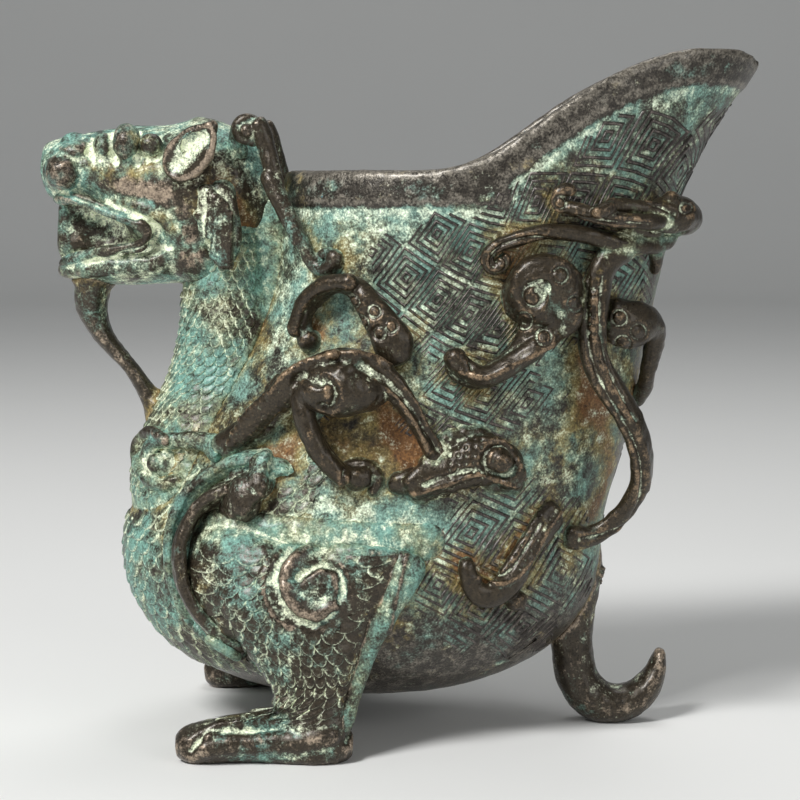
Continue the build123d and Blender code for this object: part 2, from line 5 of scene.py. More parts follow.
import bmesh
import bpy
import numpy as np
from bpy.props import FloatProperty, FloatVectorProperty, PointerProperty
from mathutils import Matrix, Vector
from mathutils.bvhtree import BVHTree


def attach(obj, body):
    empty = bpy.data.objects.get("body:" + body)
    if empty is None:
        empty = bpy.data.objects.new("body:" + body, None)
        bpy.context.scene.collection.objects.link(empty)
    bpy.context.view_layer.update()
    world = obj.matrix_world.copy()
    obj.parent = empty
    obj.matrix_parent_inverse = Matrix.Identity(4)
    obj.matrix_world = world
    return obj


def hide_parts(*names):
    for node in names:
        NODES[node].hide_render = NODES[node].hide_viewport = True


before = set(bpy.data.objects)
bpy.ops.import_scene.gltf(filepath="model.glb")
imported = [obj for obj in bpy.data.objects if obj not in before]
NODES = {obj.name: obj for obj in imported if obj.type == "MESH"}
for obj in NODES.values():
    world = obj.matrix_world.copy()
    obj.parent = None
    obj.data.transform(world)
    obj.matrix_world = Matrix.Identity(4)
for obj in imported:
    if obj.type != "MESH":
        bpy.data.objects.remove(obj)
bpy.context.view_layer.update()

bl_info = {
    "name": "Bronze beast cup",
    "version": (1, 0, 0),
    "blender": (4, 5, 0),
    "location": "3D View > Sidebar > Bronze cup",
    "description": "Builds the cast surfaces, ornament and patina of a beast-shaped bronze cup",
    "category": "Object",
}

MM = 0.001
BODY = "root"
FAR = 300.0

# The photograph's camera: its place in millimetres, its pitch, and its view in pixels
EYE_PLACE = Vector((0, -450, 116))
EYE_PITCH = math.radians(5.9)
FOCAL = 2127.0
PICTURE_MIDDLE = 400.0
MM_PER_PIXEL = 0.2
LENS = 95.7
SENSOR_WIDTH = 36.0

# How skins are smoothed, marked and welded, in millimetres where it is a length
SMOOTH_IN = 0.6
SMOOTH_OUT = 0.62
FINE_HOLLOW = 0.10
BROAD_HOLLOW = 0.35
CREVICE_REACH = 12.0
CREVICE_FADE = 3.6
WELD_SINK = 0.3

# How surfaces are pitted and patterns worn, in millimetres where it is a length
WAVES = 12
BROAD_PITS = 5.0
FINE_PITS = 2.2
BROAD_WEAR = 16.0
FINE_WEAR = 6.0
FINE_SHARE = 0.6
MOST_RELIEF = 1.1

# What climbs from the wall at the foot of an ornament
FOOT_STEEPNESS = 4
FOOT_GREEN = 0.6
FOOT_EARTH = 0.4


# Meshes and objects


def new_mesh(name, points, faces):
    mesh = bpy.data.meshes.new(name)
    mesh.from_pydata(np.asarray(points).tolist(), [], np.asarray(faces).tolist())
    return mesh


def mesh_points(mesh):
    points = np.empty(len(mesh.vertices) * 3)
    mesh.vertices.foreach_get("co", points)
    return points.reshape(-1, 3)


def add_values(mesh, name, values):
    """A value for each point of a mesh, for its material or its pattern to read."""
    mesh.attributes.new(name, "FLOAT", "POINT").data.foreach_set("value", np.ravel(values).astype(np.float32))


def shown(name, data):
    """An object in the scene."""
    made = bpy.data.objects.new(name, data)
    bpy.context.scene.collection.objects.link(made)
    return made


def evaluated_mesh(holder):
    return bpy.data.meshes.new_from_object(holder.evaluated_get(bpy.context.evaluated_depsgraph_get()))


def discard(holder):
    mesh = holder.data
    bpy.data.objects.remove(holder)
    bpy.data.meshes.remove(mesh)


def grid_quads(rows, columns):
    """Quads between the points of a grid that are counted row by row."""
    index = np.arange(rows * columns).reshape(rows, columns)
    quads = np.stack([index[:-1, :-1], index[:-1, 1:], index[1:, 1:], index[1:, :-1]], axis=-1)
    return quads.reshape(-1, 4)


# Skins: cast surfaces worked in millimetres


def summed(index, values, count):
    """Values added up by index, column by column."""
    if values.ndim == 1:
        return np.bincount(index, values, count)
    return np.stack([np.bincount(index, column, count) for column in values.T], axis=1)


def unit(vectors):
    return vectors / np.maximum(np.linalg.norm(vectors, axis=1, keepdims=True), 1e-9)


class Skin:
    """A cast surface while it is worked: points in millimetres and quads."""

    def __init__(self, points, faces):
        self.points = points
        self.faces = faces
        sides = np.concatenate([faces[:, [i, (i + 1) % 4]] for i in range(4)])
        self.edges = np.unique(np.sort(sides, axis=1), axis=0)
        self.degree = np.bincount(self.edges.ravel(), minlength=len(points)).astype(float)
        self.marks = {}

    def averaged(self, values, rounds=1):
        """Values blended with their neighbours' so many times."""
        first, second = self.edges.T
        shape = (-1,) + (1,) * (values.ndim - 1)
        for _ in range(rounds):
            near = summed(first, values[second], len(values)) + summed(second, values[first], len(values))
            values = 0.5 * values + 0.5 * near / self.degree.reshape(shape)
        return values

    def smooth(self, rounds):
        """Even out small steps without shrinking the form."""
        for _ in range(rounds):
            self.points = self.points + SMOOTH_IN * (self.averaged(self.points) - self.points)
            self.points = self.points - SMOOTH_OUT * (self.averaged(self.points) - self.points)

    def normals(self):
        corners = self.points[self.faces]
        across = np.cross(corners[:, 2] - corners[:, 0], corners[:, 3] - corners[:, 1])
        return unit(sum(summed(self.faces[:, i], across, len(self.points)) for i in range(4)))

    def press(self, amount):
        """Move every point along its normal."""
        self.points = self.points + self.normals() * amount[:, None]

    def mark_recess(self):
        """Note how far each point lies in a hollow, or proud on an edge, at two sizes."""
        normals = self.normals()
        near = np.einsum("ij,ij->i", self.averaged(self.points, 6) - self.points, normals)
        wide = np.einsum("ij,ij->i", self.averaged(self.points, 40) - self.points, normals)
        fine, broad = np.clip(near / FINE_HOLLOW, -1, 1), np.clip(wide / BROAD_HOLLOW, -1, 1)
        self.marks["recess"] = fine * 0.6 + broad * 0.4

    def mirrored(self):
        twin = Skin(self.points * [1, -1, 1], self.faces[:, ::-1])
        twin.marks = dict(self.marks)
        return twin


def node_arrays(name):
    """A CAD node's merged corners in millimetres and its triangles."""
    mesh = NODES[name].data
    mesh.calc_loop_triangles()
    corners = np.empty(len(mesh.loop_triangles) * 3, int)
    mesh.loop_triangles.foreach_get("vertices", corners)
    merged, index = np.unique(np.round(mesh_points(mesh) / MM, 4), axis=0, return_inverse=True)
    triangles = index.ravel()[corners].reshape(-1, 3)
    a, b, c = triangles.T
    return merged, triangles[(a != b) & (b != c) & (a != c)]


class Solid:
    """A surface to measure against: its nearest points and what a ray meets."""

    def __init__(self, points, triangles):
        self.points, self.triangles = points, triangles
        self.tree = BVHTree.FromPolygons(self.points.tolist(), self.triangles.tolist())
        self.low = self.points.min(axis=0)
        self.high = self.points.max(axis=0)

    def nearest(self, points, reach):
        """For points within reach: which they are, how far the surface is, and its outward way there."""
        within = np.all((points > self.low - reach) & (points < self.high + reach), axis=1)
        found, gaps, ways = [], [], []
        for i in np.flatnonzero(within):
            place, way, _, gap = self.tree.find_nearest(points[i], reach)
            if place is not None:
                found.append(i)
                gaps.append(gap)
                ways.append(way)
        return np.array(found, int), np.array(gaps), np.array(ways).reshape(-1, 3)


SOLIDS = {}
CASTS = {}
SHAPES = {}


def solid(name):
    if name not in SOLIDS:
        SOLIDS[name] = Solid(*node_arrays(name))
    return SOLIDS[name]


def keep_worked(name, skin):
    """A worked skin kept as a surface to lay things on."""
    SOLIDS[name] = Solid(skin.points, np.concatenate([skin.faces[:, [0, 1, 2]], skin.faces[:, [0, 2, 3]]]))


def near_side(name):
    """Whether a node is on the left or in the middle, so that its twin can be mirrored from it."""
    return not name.startswith("right_")


def ball(centre, radii):
    """A small closed ellipsoid as points and triangles."""
    if "ball" not in SHAPES:
        made = bmesh.new()
        bmesh.ops.create_icosphere(made, subdivisions=3, radius=1)
        SHAPES["ball"] = (
            np.array([corner.co for corner in made.verts]),
            np.array([[corner.index for corner in face.verts] for face in made.faces]),
        )
        made.free()
    points, triangles = SHAPES["ball"]
    return points * radii + np.array(centre), triangles


def rope(line, start, end=None):
    """Balls along a line of places, so close that they melt together; radii at its start and end."""
    end = start if end is None else end
    shares = np.linspace(0, 1, len(line))
    return [ball(place, start + (end - start) * share) for place, share in zip(line, shares)]


def paired(shapes):
    """Shapes with their mirror images across the middle."""
    return shapes + [(points * [1, -1, 1], triangles[:, ::-1]) for points, triangles in shapes]


def recast(names, grain, rounds=3, lumps=()):
    """An even closed skin over CAD nodes and added lumps, rounded as a casting is."""
    shapes = [(solid(name).points, solid(name).triangles) for name in names] + list(lumps)
    starts = np.cumsum([0] + [len(points) for points, _ in shapes[:-1]])
    points = np.concatenate([points for points, _ in shapes])
    triangles = np.concatenate([triangles + start for (_, triangles), start in zip(shapes, starts)])
    holder = shown("rough", new_mesh("rough", points, triangles))
    remesh = holder.modifiers.new("skin", "REMESH")
    remesh.mode = "VOXEL"
    remesh.voxel_size = grain
    mesh = evaluated_mesh(holder)
    points = mesh_points(mesh)
    corners = np.empty(len(mesh.loops), int)
    mesh.loops.foreach_get("vertex_index", corners)
    bpy.data.meshes.remove(mesh)
    discard(holder)
    skin = Skin(points, corners.reshape(-1, 4))
    skin.smooth(rounds)
    CASTS[names[0]] = skin
    return skin


def weld(skin, host, reach, swell):
    """Spread the foot of a piece over its host, as the fillet of a casting."""
    found, gaps, ways = solid(host).nearest(skin.points, reach)
    if len(found) == 0:
        return
    normals = skin.normals()[found]
    upright = np.einsum("ij,ij->i", normals, ways)
    level = normals - ways * upright[:, None]
    share = (1 - gaps / reach) ** 2
    skin.points[found] += level * (swell * share)[:, None] - ways * (WELD_SINK * share)[:, None]


def folded(points):
    """Points of both sides brought to the left one."""
    return np.column_stack([points[:, 0], -np.abs(points[:, 1]), points[:, 2]])


def crevice(points, own):
    """How close points lie to the pieces other than their own: 1 where they touch, fading away."""
    points = folded(points)
    closest = np.full(len(points), CREVICE_REACH)
    for name in NODES:
        if name not in own and near_side(name):
            found, gaps, _ = solid(name).nearest(points, CREVICE_REACH)
            closest[found] = np.minimum(closest[found], gaps)
    return np.exp(-closest / CREVICE_FADE)


# Lines drawn on a piece and pressed into it


def curved(points, step=1.5):
    """An even line through places in the picture, rounded at each of them."""
    points = np.array(points, float)
    ends = np.concatenate([[2 * points[0] - points[1]], points, [2 * points[-1] - points[-2]]])
    line = []
    for a, b, c, d in zip(ends, ends[1:], ends[2:], ends[3:]):
        count = max(2, int(np.linalg.norm(c - b) / step))
        t = np.arange(count)[:, None] / count
        line.append(
            0.5 * (2 * b + (c - a) * t + (2 * a - 5 * b + 4 * c - d) * t**2 + (3 * b - a - 3 * c + d) * t**3)
        )
    return np.concatenate(line + [points[-1:]])


def spiral(u, v, outer, inner, start, turns):
    """A spiral in the picture from its outer end inwards, in pixels; start in degrees, anticlockwise."""
    share = np.linspace(0, 1, 90)
    turn = np.radians(start) + share * turns * 2 * math.pi
    radius = outer + (inner - outer) * share
    return np.stack([u + radius * np.cos(turn), v - radius * np.sin(turn)], axis=1)


def ring(u, v, radius):
    return spiral(u, v, radius / MM_PER_PIXEL, radius / MM_PER_PIXEL, 0, 1)


def sight(u, v):
    """The way from the camera through a place in the picture."""
    right, down = (u - PICTURE_MIDDLE) / FOCAL, (v - PICTURE_MIDDLE) / FOCAL
    cosine, sine = math.cos(EYE_PITCH), math.sin(EYE_PITCH)
    return Vector((right, cosine - sine * down, -sine - cosine * down)).normalized()


def laid(names, line, lift=0.0):
    """A line drawn in the picture, laid on the nearest of some CAD nodes and lifted off it."""
    places = []
    for u, v in line:
        way = sight(u, v)
        hits = [solid(name).tree.ray_cast(EYE_PLACE, way) for name in names]
        hits = [(hit[3], hit[0] + hit[1] * lift) for hit in hits if hit[0] is not None]
        if hits:
            places.append(min(hits, key=lambda hit: hit[0])[1])
    return np.array(places).reshape(-1, 3)


def hung(line, first, last):
    """A line drawn in the picture, held in the air at a depth that changes evenly from left to right."""
    line = np.array(line, float)
    depths = np.interp(line[:, 0], [line[:, 0].min(), line[:, 0].max()], [first, last])
    places = []
    for (u, v), depth in zip(line, depths):
        way = sight(u, v)
        places.append(EYE_PLACE + way * ((depth - EYE_PLACE.y) / way.y))
    return np.array(places)


def inside(outline, u, v):
    """Whether a place in the picture lies within an outline."""
    crossed = [
        (b < v) != (d < v) and u < a + (v - b) * (c - a) / (d - b)
        for (a, b), (c, d) in zip(outline, outline[1:] + outline[:1])
    ]
    return sum(crossed) % 2 == 1


def spread(outline, step=4.0):
    """Places spread evenly within an outline in the picture."""
    (left, top), (right, bottom) = np.min(outline, axis=0), np.max(outline, axis=0)
    return [
        (u, v)
        for u in np.arange(left, right, step)
        for v in np.arange(top, bottom, step)
        if inside(outline, u, v)
    ]


def lump(names, spot, radii, lift):
    """An ellipsoid at a place in the picture, laid on CAD nodes."""
    return [ball(place, radii) for place in laid(names, [spot], lift)]


def lumps_at(names, spots):
    """Lumps at named spots, each with its radii and its lift."""
    return [shape for spot, radii, lift in spots.values() for shape in lump(names, spot, radii, lift)]


def spanned(skin, line, width):
    """Each point's share of a line's width, the same on both sides: 1 on the line, fading to 0."""
    share = np.zeros(len(skin.points))
    if len(line) == 0:
        return share
    points = folded(skin.points)
    reach = 2.5 * width
    within = np.all((points > line.min(axis=0) - reach) & (points < line.max(axis=0) + reach), axis=1)
    index = np.flatnonzero(within)
    for part in np.array_split(index, len(index) // 2000 + 1):
        gaps = np.linalg.norm(points[part][:, None] - line[None], axis=2).min(axis=1)
        share[part] = np.exp(-((gaps / width) ** 2))
    return share


def draw(skin, names, line, width, depth):
    """Raise a piece along a line drawn in the picture, or sink it where depth is negative."""
    skin.press(depth * spanned(skin, laid(names, line), width))


def alike(name, lines, width, depth):
    """Numbered strokes of one width and depth."""
    return {name + " " + str(number): (line, width, depth) for number, line in enumerate(lines)}


def draw_all(skin, names, strokes):
    """Draw named strokes in turn: a line, its width and its depth."""
    for line, width, depth in strokes.values():
        draw(skin, names, line, width, depth)


def stain(skin, mark, names, line, width, amount):
    """Add to one of a piece's marks along a line drawn in the picture."""
    skin.marks[mark] = skin.marks[mark] + amount * spanned(skin, laid(names, line), width)


def stain_all(skin, names, stains):
    """Add named stains in turn: a mark, a line, its width and an amount."""
    for mark, line, width, amount in stains.values():
        stain(skin, mark, names, line, width, amount)


def noise(points, size, seed):
    """Smooth uneven values for points, from a handful of waves of about one size."""
    draws = np.random.default_rng(seed)
    total = np.zeros(len(points))
    for _ in range(WAVES):
        way = draws.normal(size=3)
        way *= 2 * math.pi / size * draws.uniform(0.6, 1.5) / np.linalg.norm(way)
        total += np.sin(points @ way + draws.uniform(0, 2 * math.pi))
    return total / math.sqrt(WAVES / 2)


def age(skin, seed, depth):
    """The uneven surface that casting and burial leave."""
    bumps = noise(skin.points, BROAD_PITS, seed) + FINE_SHARE * noise(skin.points, FINE_PITS, seed + 1)
    skin.press(depth * bumps)


# Pattern laid on a surface


def add_node(tree, kind, inputs=None, **settings):
    """A node with its settings, and its inputs joined or set."""
    made = tree.nodes.new(kind)
    for key, value in settings.items():
        setattr(made, key, value)
    for key, value in (inputs or {}).items():
        if isinstance(value, bpy.types.NodeSocket):
            tree.links.new(value, made.inputs[key])
        else:
            made.inputs[key].default_value = value
    return made


def math_node(tree, operation, *values):
    return add_node(tree, "ShaderNodeMath", dict(enumerate(values)), operation=operation).outputs[0]


def laid_pattern_tree():
    """A motif repeated over a flat field in staggered rows and laid on a surface by its UV map."""
    tree = bpy.data.node_groups.new("laid_pattern", "GeometryNodeTree")
    face = tree.interface
    for name, kind in (
        ("Surface", "NodeSocketGeometry"),
        ("Motif", "NodeSocketObject"),
        ("Width", "NodeSocketFloat"),
        ("Height", "NodeSocketFloat"),
        ("Across", "NodeSocketFloat"),
        ("Along", "NodeSocketFloat"),
        ("Stagger", "NodeSocketFloat"),
        ("Turn", "NodeSocketFloat"),
        ("Sink", "NodeSocketFloat"),
        ("Material", "NodeSocketMaterial"),
    ):
        face.new_socket(name, in_out="INPUT", socket_type=kind)
    face.new_socket("Pattern", in_out="OUTPUT", socket_type="NodeSocketGeometry")
    given = tree.nodes.new("NodeGroupInput").outputs
    field = math_node(tree, "ADD", given["Width"], given["Height"])

    def count(pitch):
        return math_node(tree, "CEIL", math_node(tree, "DIVIDE", field, pitch))

    columns, rows = count(given["Across"]), count(given["Along"])
    grid = add_node(tree, "GeometryNodeMeshGrid", {
        "Size X": math_node(tree, "MULTIPLY", columns, given["Across"]),
        "Size Y": math_node(tree, "MULTIPLY", rows, given["Along"]),
        "Vertices X": math_node(tree, "ADD", columns, 1.0),
        "Vertices Y": math_node(tree, "ADD", rows, 1.0),
    })

    def position():
        here = tree.nodes.new("GeometryNodeInputPosition").outputs[0]
        return add_node(tree, "ShaderNodeSeparateXYZ", {0: here}).outputs

    row = math_node(tree, "ROUND", math_node(tree, "DIVIDE", position()["Y"], given["Along"]))
    odd = math_node(tree, "ABSOLUTE", math_node(tree, "MODULO", row, 2.0))
    shift = math_node(tree, "MULTIPLY", math_node(tree, "MULTIPLY", odd, given["Stagger"]), given["Across"])
    staggered = add_node(tree, "GeometryNodeSetPosition", {
        "Geometry": grid.outputs["Mesh"],
        "Offset": add_node(tree, "ShaderNodeCombineXYZ", {"X": shift}).outputs[0],
    })
    turning = add_node(tree, "ShaderNodeCombineXYZ", {"Z": given["Turn"]}).outputs[0]
    turned = add_node(tree, "GeometryNodeTransform", {
        "Geometry": staggered.outputs[0],
        "Rotation": turning,
    })

    def flat_place():
        """Where a point of the flat field lies on the UV map."""
        spot = position()
        u = math_node(tree, "ADD", math_node(tree, "DIVIDE", spot["X"], given["Width"]), 0.5)
        v = math_node(tree, "ADD", math_node(tree, "DIVIDE", spot["Y"], given["Height"]), 0.5)
        return add_node(tree, "ShaderNodeCombineXYZ", {"X": u, "Y": v}).outputs[0], spot["Z"]

    def read(name, kind, spot):
        """A named value of the surface at a place on its UV map."""
        value = add_node(tree, "GeometryNodeInputNamedAttribute", {"Name": name}, data_type=kind)
        around = add_node(tree, "GeometryNodeInputNamedAttribute", {"Name": "flat"}, data_type="FLOAT_VECTOR")
        return add_node(tree, "GeometryNodeSampleUVSurface", {
            "Mesh": given["Surface"],
            "Value": value.outputs["Attribute"],
            "Source UV Map": around.outputs["Attribute"],
            "Sample UV": spot,
        }, data_type=kind)

    spot, _ = flat_place()
    kept = read("keep", "FLOAT", spot)
    wanted = add_node(tree, "FunctionNodeBooleanMath", {
        0: add_node(tree, "FunctionNodeCompare", {"A": kept.outputs["Value"], "B": 0.5}).outputs[0],
        1: kept.outputs["Is Valid"],
    }, operation="AND")
    motif = add_node(tree, "GeometryNodeObjectInfo", {"Object": given["Motif"], "As Instance": True})
    instances = add_node(tree, "GeometryNodeInstanceOnPoints", {
        "Points": turned.outputs[0],
        "Selection": wanted.outputs[0],
        "Instance": motif.outputs["Geometry"],
        "Rotation": turning,
    })
    realized = add_node(tree, "GeometryNodeRealizeInstances", {"Geometry": instances.outputs[0]})
    spot, height = flat_place()
    seat, way = read("seat", "FLOAT_VECTOR", spot), read("way", "FLOAT_VECTOR", spot)
    relief = read("relief", "FLOAT", spot).outputs["Value"]
    lost = math_node(tree, "MULTIPLY", math_node(tree, "SUBTRACT", relief, 1.0), given["Sink"])
    height = math_node(tree, "MULTIPLY_ADD", height, relief, lost)
    lifted = add_node(tree, "ShaderNodeVectorMath", {
        0: way.outputs["Value"],
        "Scale": height,
    }, operation="SCALE")
    whole = add_node(tree, "FunctionNodeCompare", {
        "A": read("keep", "FLOAT", spot).outputs["Value"],
        "B": 0.98,
    })
    unsound = add_node(tree, "FunctionNodeBooleanMath", {
        0: seat.outputs["Is Valid"],
        1: whole.outputs[0],
    }, operation="NAND")
    trimmed = add_node(tree, "GeometryNodeDeleteGeometry", {
        "Geometry": realized.outputs[0],
        "Selection": unsound.outputs[0],
    }, domain="POINT")
    wrapped = add_node(tree, "GeometryNodeSetPosition", {
        "Geometry": trimmed.outputs[0],
        "Position": add_node(
            tree, "ShaderNodeVectorMath", {0: seat.outputs["Value"], 1: lifted.outputs[0]}, operation="ADD"
        ).outputs[0],
    })
    smooth = add_node(tree, "GeometryNodeSetShadeSmooth", {"Geometry": wrapped.outputs[0]})
    joined = add_node(tree, "GeometryNodeRealizeInstances", {"Geometry": smooth.outputs[0]})
    coated = add_node(tree, "GeometryNodeSetMaterial", {
        "Geometry": joined.outputs[0],
        "Material": given["Material"],
    })
    add_node(tree, "NodeGroupOutput", {0: coated.outputs[0]})
    return tree


class Sheet:
    """A patch of surface as rows of points, with its flat size, ways out and what is kept."""

    def __init__(self, seats, ways, keep):
        self.seats, self.ways, self.keep = seats, ways, keep
        self.relief = np.ones_like(keep)
        self.width = np.linalg.norm(np.diff(seats, axis=1), axis=2).sum(axis=1).mean()
        self.height = np.linalg.norm(np.diff(seats, axis=0), axis=2).sum(axis=0).mean()

    def holder(self):
        """The sheet as an object that a pattern can be laid on."""
        rows, columns = self.keep.shape
        mesh = new_mesh("sheet", self.seats.reshape(-1, 3), grid_quads(rows, columns))
        v, u = np.meshgrid(np.linspace(0, 1, rows), np.linspace(0, 1, columns), indexing="ij")
        flat = np.stack([u, v, np.zeros_like(u)], axis=-1)
        for name, values in (("flat", flat), ("seat", self.seats), ("way", self.ways)):
            made = mesh.attributes.new(name, "FLOAT_VECTOR", "POINT")
            made.data.foreach_set("vector", values.astype(np.float32).ravel())
        add_values(mesh, "keep", self.keep)
        add_values(mesh, "relief", self.relief)
        return shown("sheet", mesh)

    def mirrored(self):
        seats, ways = (self.seats * [1, -1, 1])[:, ::-1], (self.ways * [1, -1, 1])[:, ::-1]
        twin = Sheet(seats, ways, self.keep[:, ::-1])
        twin.relief = self.relief[:, ::-1]
        return twin

    def wear(self, seed, level, rough):
        """Wear the pattern down unevenly."""
        points = self.seats.reshape(-1, 3)
        patches = noise(points, BROAD_WEAR, seed) + FINE_SHARE * noise(points, FINE_WEAR, seed + 1)
        self.relief = np.clip(level + rough * patches, 0.0, MOST_RELIEF).reshape(self.keep.shape)


def section_middles(skin, low, high, step=2.0):
    """The middles of a skin's level sections between two heights, evened out, as a function of height."""
    levels = np.arange(low, high + step, step)
    middles = []
    for z in levels:
        near = skin.points[np.abs(skin.points[:, 2] - z) < step]
        middles.append((near.min(axis=0) + near.max(axis=0))[:2] / 2)
    middles = np.array(middles)
    for _ in range(4):
        middles[1:-1] = (middles[:-2] + 2 * middles[1:-1] + middles[2:]) / 4

    def middle(z):
        return Vector((np.interp(z, levels, middles[:, 0]), np.interp(z, levels, middles[:, 1]), z))

    return middle


def met_from_outside(source, middle, bearing):
    """Where a level ray towards the middle meets a solid's near side, and the surface's way out there."""
    out = Vector((math.cos(bearing), -math.sin(bearing), 0))
    place, way, _, _ = source.tree.ray_cast(middle + out * FAR, -out)
    if place is None or (place - middle).dot(out) < 0:
        return None, out
    return place, way


def wrapped_sheet(name, middle, low, tops, bearings, rows):
    """A sheet round a standing solid, up to a height for each bearing; 0 degrees is the rear, 90 the left."""
    source = solid(name)
    seats, ways, keep = [], [], []
    for share in np.linspace(0, 1, rows):
        for bearing, top in zip(np.radians(bearings), tops):
            centre = middle(low + (top - low) * share)
            place, way = met_from_outside(source, centre, bearing)
            seats.append(centre if place is None else place)
            ways.append(way)
            keep.append(0.0 if place is None else 1.0)
    shape = (rows, len(bearings))
    seats, ways = np.array(seats).reshape(*shape, 3), np.array(ways).reshape(*shape, 3)
    return Sheet(seats, ways, np.array(keep).reshape(shape))


def rim_heights(middle, bearings, low=100.0, high=146.0):
    """The height of the cup's rim at each bearing, by halving."""
    heights = []
    for bearing in np.radians(bearings):
        below, above = low, high
        for _ in range(12):
            z = (below + above) / 2
            place, _ = met_from_outside(solid("cup"), middle(z), bearing)
            below, above = (below, z) if place is None else (z, above)
        heights.append(below)
    return np.array(heights)


def keep_clear(sheet, names, gap):
    """Leave off what would lie within a gap of other pieces."""
    points = sheet.seats.reshape(-1, 3)
    for name in names:
        found, _, _ = solid(name).nearest(points, gap)
        sheet.keep.ravel()[found] = 0.0


def lay_pattern(name, sheet, repeated, material, across, along, sink, stagger=0.0, turn=0.0):
    """The mesh of a motif repeated over a sheet, in millimetres."""
    holder = sheet.holder()
    bpy.context.scene.collection.objects.link(repeated)
    tree = bpy.data.node_groups.get("laid_pattern") or laid_pattern_tree()
    modifier = holder.modifiers.new("pattern", "NODES")
    modifier.node_group = tree
    keys = {item.name: item.identifier for item in tree.interface.items_tree}
    for key, value in (
        ("Motif", repeated),
        ("Width", float(sheet.width)),
        ("Height", float(sheet.height)),
        ("Across", across),
        ("Along", along),
        ("Stagger", stagger),
        ("Turn", turn),
        ("Sink", sink),
        ("Material", material),
    ):
        modifier[keys[key]] = value
    mesh = evaluated_mesh(holder)
    mesh.name = name
    if len(mesh.polygons) == 0:
        raise RuntimeError("the pattern " + name + " came out empty")
    bpy.context.scene.collection.objects.unlink(repeated)
    discard(holder)
    return mesh


# A scale from its middle out: the share of its size, its height and its recess.
SCALE_PROFILE = ((0.0, 0.1, -0.1), (0.45, 0.6, -0.2), (0.8, 1.0, 0.0), (0.93, 0.85, 0.8), (1.0, 0.0, 1.0))
SCALE_SPOKES = 8
SQUARE_CORNERS = ((-1, -1), (0, -1), (1, -1), (1, 0), (1, 1), (0, 1), (-1, 1), (-1, 0))


def motif(name, rows, faces):
    """A motif from points that each carry a recess value."""
    points = np.array(rows)
    mesh = new_mesh(name, points[:, :3], faces)
    add_values(mesh, "recess", points[:, 3])
    return bpy.data.objects.new(name, mesh)


def scale_motif(width, length, lift):
    """One fish scale pointing down, proud at its lower edge, with its rim marked as a recess."""
    rows = []
    for share, height, mark in SCALE_PROFILE:
        for turn in np.linspace(0, math.pi, SCALE_SPOKES):
            x = -math.cos(turn) * share * width / 2
            y = length * 0.25 - math.sin(turn) * share * length * 0.8
            slope = 0.35 + 0.65 * math.sin(turn)
            rows.append((x, y, lift * height * slope - 0.05, mark))
    return motif("scale", rows, grid_quads(len(SCALE_PROFILE), SCALE_SPOKES)[:, [0, 3, 2, 1]])


def thunder_motif(side, lines, ridge, lift):
    """Nested square ridges, as in a thunder pattern, round a small square."""
    foot, top = ridge, ridge * 0.45
    profile = ((foot, -0.1, 0.7), (top, lift, -0.7), (-top, lift, -0.7), (-foot, -0.1, 0.7))
    count = len(SQUARE_CORNERS)
    rows, faces = [], []
    for i in range(lines):
        reach = side / 2 * (1 - i / (lines - 0.4))
        start = len(rows)
        for offset, height, mark in profile:
            half = reach + offset / 2
            rows += [(x * half, y * half, height, mark) for x, y in SQUARE_CORNERS]
        for strip in range(len(profile) - 1):
            for k in range(count):
                a = start + strip * count + k
                b = start + strip * count + (k + 1) % count
                faces.append((a, b, b + count, a + count))
    return motif("thunder_square", rows, faces)


# Finishes


def ramp(tree, value, low, high):
    """Nothing below low, all above high, and smooth between them."""
    return add_node(tree, "ShaderNodeMapRange", {
        "Value": value, "From Min": low, "From Max": high,
    }, interpolation_type="SMOOTHSTEP").outputs["Result"]


def mixed(tree, share, first, second, blend="MIX"):
    made = add_node(tree, "ShaderNodeMix", data_type="RGBA", blend_type=blend)
    for key, value in (("Factor_Float", share), ("A_Color", first), ("B_Color", second)):
        socket = next(item for item in made.inputs if item.identifier == key)
        if isinstance(value, bpy.types.NodeSocket):
            tree.links.new(value, socket)
        else:
            socket.default_value = value
    return next(item for item in made.outputs if item.identifier == "Result_Color")


# Worn is rubbed bronze on proud places and edges, and partly a painted highlight there.
COLOURS = ("Bronze", "Worn", "Verdigris", "Olive", "Mint", "Ochre", "Rust", "Speck")


